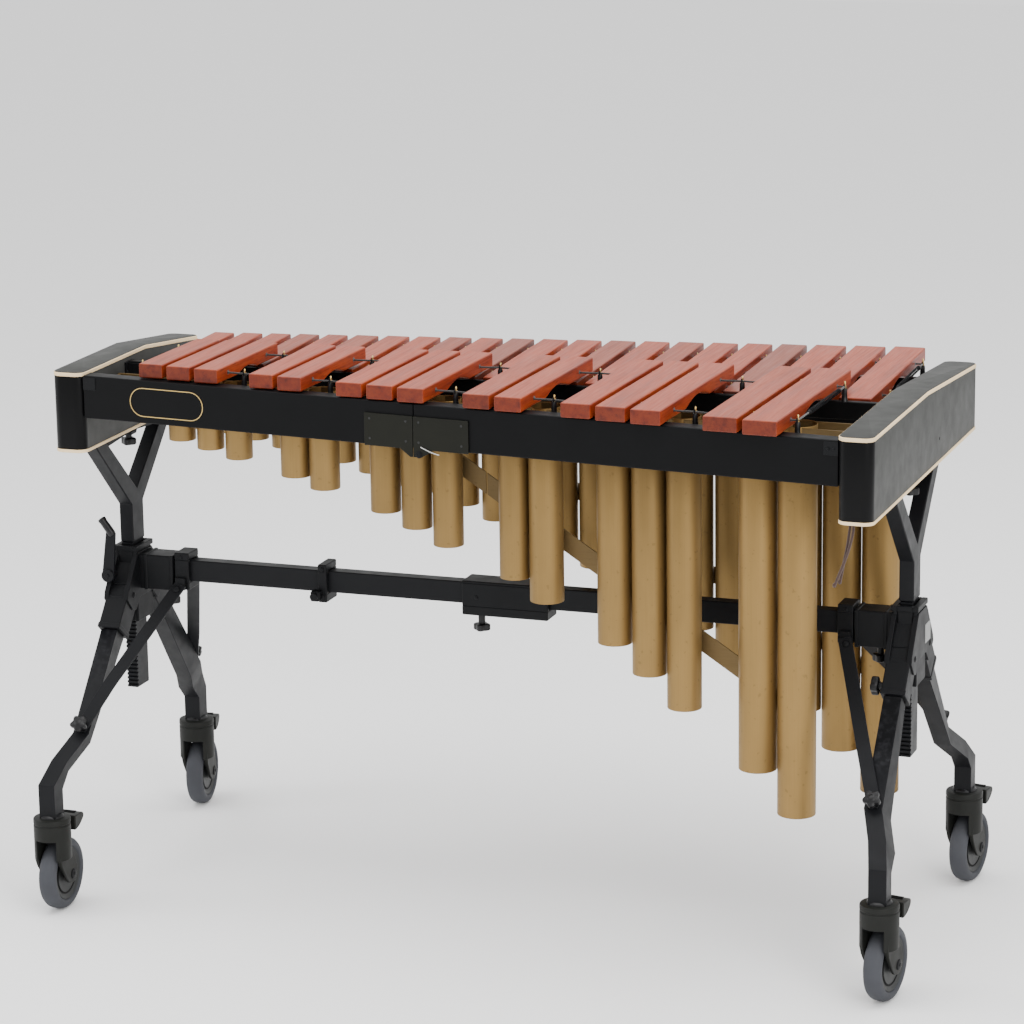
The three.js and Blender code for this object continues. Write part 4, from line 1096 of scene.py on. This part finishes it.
bm = bmesh.new()
ring_block(bm, (-74, 80), 24, (508, 568))
finished("coupler_body", bm, "stand", "steel", CAST, 5.0, 4, 38, ("crossbar_coupler",), merge=False)
bm = bmesh.new()
for x in (-48, 54):
    button(bm, (x, SY - 24, 540), (0, -1, 0), 3.6, 1.4, 24)
finished("coupler_bolts", bm, "stand", "steel", CAST)
bm = bmesh.new()
ring_block(bm, (-338, -322), 24, (509, 576))
block(bm, (-346, -331), (SY - 40, SY - 22), (514, 532))
finished("spare_collar_body", bm, "spare_collar", "steel", CAST, 2.2, 3, 38, ("spare_collar",), merge=False)
bm = bmesh.new()
for z in (568, 519):
    button(bm, (-330, SY - 24, z), (0, -1, 0), 4.2, 2.0, 20)
lathe(bm, [(0, 5), (6, 5), (7, 4), (7, 0)], (-338.5, SY - 40, 523), (0, -1, 0), 20)
finished("spare_collar_bolts", bm, "spare_collar", "steel", CAST)
for side, end in SIDES:
    bm = bmesh.new()
    xs = (side * 582, side * 609)
    ring_block(bm, xs, 22, (511, 577))
    finished(f"collar_body_{end}", bm, "stand", "steel", CAST, 2.2, 3, 38, (f"collar_{end}",), merge=False)
    bm = bmesh.new()
    for way in (-1, 1):
        block(bm, (side * 588, side * 606), (SY + way * 21, SY + way * 28), (512, 533))
        button(bm, (side * 597, SY + way * 22, 569), (0, way, 0), 4.0, 2.0, 20)
    finished(f"collar_lugs_{end}", bm, "stand", "steel", CAST, 1.0, 2)

# ---------------------------------------------------------------- clamp screws and lever
def star_screw(name, node, point, direction, radius, tall, stem):
    """A hand screw with four lobes, on a body of its own."""
    bm = bmesh.new()
    star(bm, point, direction, radius, tall, stem, 4)
    finished(name, bm, node, "plastic", PLASTIC, 0, 2, 38, (node,))


for side, end in SIDES:
    for label, point, size, tall, stem in (("bar", (650 if side > 0 else -624, SY, 507.7), 14, 13, 15),
                                           ("block", (side * CX, SY, BLOCKS[end]["bottom"] - GAP), 14, 12, 23)):
        star_screw(f"{label}_star_{end}", f"{label}_screw_{end}", point, (0, 0, -1), size, tall, stem)
star_screw("coupler_star", "coupler_screw", (-47, SY, 507.7), (0, 0, -1), 15, 12, 19)
low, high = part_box("leg_screw_low")
middle = (low + high) / 2 / MM
star_screw("leg_star_low", "leg_screw_low", (high.x / MM, middle.y, middle.z), (-1, 0, 0),
           16, 13, (high.x - low.x) / MM - 14)

face = SY - 68
pivot, elbow, tip = (Vector((x, face, z)) for x, z in ((-714, 540), (-706, 618), (-724, 642)))
bm = bmesh.new()
lathe(bm, [(0, 12.3), (11, 12.3), (12, 11.3), (12, -4.2), (10.6, -6), (0, -6)], pivot, (0, 1, 0), 32)
lathe(bm, [(0, -8), (4, -8), (4.6, -7), (4.6, -5)], pivot, (0, 1, 0), 6)
beam(bm, pivot, elbow, 22, 5.4, (0, 1, 0), 0.78)
finished("lever_blade", bm, "clamp_lever", "steel", STEEL, 1.2, 2, 38, ("clamp_lever",), merge=False)
bm = bmesh.new()
d = tip - elbow
long = d.length
lathe(bm, [(0, -6), (5.5, -6), (6.8, -3), (7, 6), (6.6, long - 8), (7.4, long - 4), (7, long - 1), (4, long),
           (0, long)], elbow, d, 24)
finished("lever_grip", bm, "clamp_lever", "plastic", PLASTIC)

# ---------------------------------------------------------------- casters
SWIVEL = {"low_near": -9, "low_far": -9, "high_near": 0, "high_far": 8}
TRAIL = 26


def caster(side, end, way, place):
    """Drawn round the origin, then turned about its swivel and moved under its leg."""
    name = f"{end}_{place}"
    body = f"caster_{name}"
    turn = (Matrix.Translation((side * (CX + SPLAY), SY + way * FOOT_Y, 0))
            @ Matrix.Rotation(math.radians(SWIVEL[name]), 4, "Z"))

    def placed(title, bm, *rest, **more):
        bmesh.ops.transform(bm, matrix=turn, verts=bm.verts)
        finished(f"{title}_{name}", bm, *rest, **more)
    top = 171.7
    bm = bmesh.new()
    lathe(bm, [(0, top), (28, top), (31.2, top - 1), (32, top - 3.2), (32, top - 9), (31.2, top - 10),
               (30.6, top - 10.4), (30.6, top - 12), (31.2, top - 12.6), (31.9, top - 13.4), (31.9, 134), (0, 134)],
          (0, 0, 0), (0, 0, 1), 48)
    placed("hood", bm, body, "plastic", HOOD, 0, 2, 38, (body,))
    # Two rounded cheeks, flush with the hood, with the wheel's slot between them
    outline = [(-22, 100), (-17, 87), (-8, 73), (1, 60), (10, 51), (20, 47), (TRAIL, 46), (TRAIL + 9, 48),
               (TRAIL + 14, 54), (TRAIL + 17, 63), (TRAIL + 14, 76), (TRAIL + 8, 88), (26, 104)]
    for w in (-1, 1):
        bm = bmesh.new()
        low = [(w * 17.6, y, z) for y, z in outline]
        high = [(w * (25 - 2.5 * max(0, (90 - z) / 45)), y, z) for y, z in outline]
        shell(bm, low + [(w * 17.6, 19, 136), (w * 17.6, -19, 136)],
              high + [(w * 25, 19, 136), (w * 25, -19, 136)])
        placed(f"cheek_{'a' if w < 0 else 'b'}", bm, body, "plastic", HOOD, 1.8, 3, 38)
        bm = bmesh.new()
        arc = [math.radians(a) for a in range(-52, 53, 8)]
        ring = [(w * 31.8 * math.cos(t), 31.8 * math.sin(t)) for t in arc]
        ring += [(w * 17.7, y) for _, y in (ring[-1], ring[0])]
        plan(bm, ring, (98, 136))
        placed(f"skirt_{'a' if w < 0 else 'b'}", bm, body, "plastic", HOOD, 1.6, 2, 50)
    bm = bmesh.new()
    hub = (0, TRAIL, 62.5)
    for w in (-1, 1):
        lathe(bm, [(0, 25.8), (6, 25.8), (8.4, 25), (9, 23.6), (9, 17)], hub, (w, 0, 0), 28)
        lathe(bm, [(0, 26.8), (3.4, 26.8), (3.4, 25)], hub, (w, 0, 0), 6)
    lathe(bm, [(5, -19), (5, 19)], hub, (1, 0, 0), 20)
    placed("axle", bm, body, "steel", CAST)
    # Wheel
    bm = bmesh.new()
    half = [(45.5, 11.5), (47, 14.4), (50, 15.8), (54, 15.6), (58, 13.8), (60.6, 10.6), (62.0, 6)]
    profile = [(r, -h) for r, h in half] + [(62.4, 0)] + [(r, h) for r, h in reversed(half)]
    lathe(bm, profile, hub, (1, 0, 0), 72, True)
    placed("tyre", bm, f"wheel_{name}", "tyre", TYRE, 0, 2, 38, (f"wheel_{name}",))
    bm = bmesh.new()
    half = [(5.6, 15), (12, 15), (13.5, 13.4), (16, 11.6), (38, 10.4), (42, 12.4), (45.2, 12.8), (45.6, 11.2)]
    lathe(bm, [(r, -h) for r, h in half] + [(r, h) for r, h in reversed(half)], hub, (1, 0, 0), 72, True)
    placed("disc", bm, f"wheel_{name}", "plastic", DISC, 0, 2, 30)
    bm = bmesh.new()
    # Painted shade: a thin near-black ring on each face of the disc stands for the shade in its ring groove.
    for w in (-1, 1):
        lathe(bm, [(33.5, 10.6), (33.5, 11.5), (36.5, 11.3), (36.5, 10.4)], hub, (w, 0, 0), 64, True)
    placed("disc_rings", bm, f"wheel_{name}", "plastic", RECESS_SHADE, 0, 2)
    # Brake pedal: a wedge with a rounded, hooked tip
    bm = bmesh.new()
    outline = [(34, 138), (40, 138.4), (46, 139.6), (54, 141.8), (61, 144), (69, 146.6), (75, 149), (78, 154),
               (74, 158.6), (67, 160.8), (60, 162), (47, 163.4), (34, 164)]
    ring = [(27 - 5.0 * max(0, (y - 40) / 38) ** 1.8, y, z) for y, z in outline]
    shell(bm, [(-x, y, z) for x, y, z in ring], ring)
    placed("brake", bm, f"pedal_{name}", "plastic", HOOD, 2.4, 3, 38, (f"pedal_{name}",))
    # Painted shade: the ribs take the near-black recess colour, for the shade between them.
    bm = bmesh.new()
    for k in range(4):
        y = 52 + 4.6 * k
        z = 163.0 - (y - 52) * 0.12
        block(bm, (-17 + k * 1.2, 17 - k * 1.2), (y, y + 1.6), (z - 3, z + 0.8))
    placed("brake_ribs", bm, f"pedal_{name}", "plastic", RECESS_SHADE, 0.3, 1, 38, merge=False)


for side, end in SIDES:
    for way, place in PLACES:
        caster(side, end, way, place)

# ---------------------------------------------------------------- floor, light and air
def flat_look(name, color):
    look = Look(name, color, 0.9)
    look.color(look.ramp(look.noise(1.2, detail=2), [(0.3, tuple(c * 0.995 for c in color)), (0.7, color)]))
    return look.material


bm = bmesh.new()
block(bm, (-14000, 14000), (-14000, 14000), (-60, 0))
bmesh.ops.scale(bm, vec=(MM, MM, MM), verts=bm.verts)
mesh = bpy.data.meshes.new("floor")
bm.to_mesh(mesh)
bm.free()
mesh.materials.append(flat_look("floor_white", (0.96, 0.96, 0.96)))
floor = linked("floor", mesh)

world = bpy.data.worlds.new("air")
bpy.context.scene.world = world
world.use_nodes = True
world.node_tree.nodes["Background"].inputs[0].default_value = (1, 1, 1, 1)
world.node_tree.nodes["Background"].inputs[1].default_value = 1.3


def soft_light(name, place, aim, size, power, color=(1, 1, 1)):
    data = bpy.data.lights.new(name, "AREA")
    data.shape = "RECTANGLE"
    data.size, data.size_y = size
    data.energy = power
    data.color = color
    lamp = linked(name, data)
    lamp.location = place
    lamp.rotation_euler = (Vector(aim) - Vector(place)).to_track_quat("-Z", "Y").to_euler()


soft_light("over", (0.2, -0.6, 4.2), (0, 0, 0.8), (4.5, 3.0), 190)
soft_light("front_right", (3.6, -3.4, 2.6), (0.2, 0, 0.7), (2.2, 2.2), 120, (1, 0.99, 0.97))
soft_light("left", (-4.4, -1.8, 1.9), (-0.2, 0, 0.6), (1.6, 2.4), 55, (0.97, 0.98, 1))
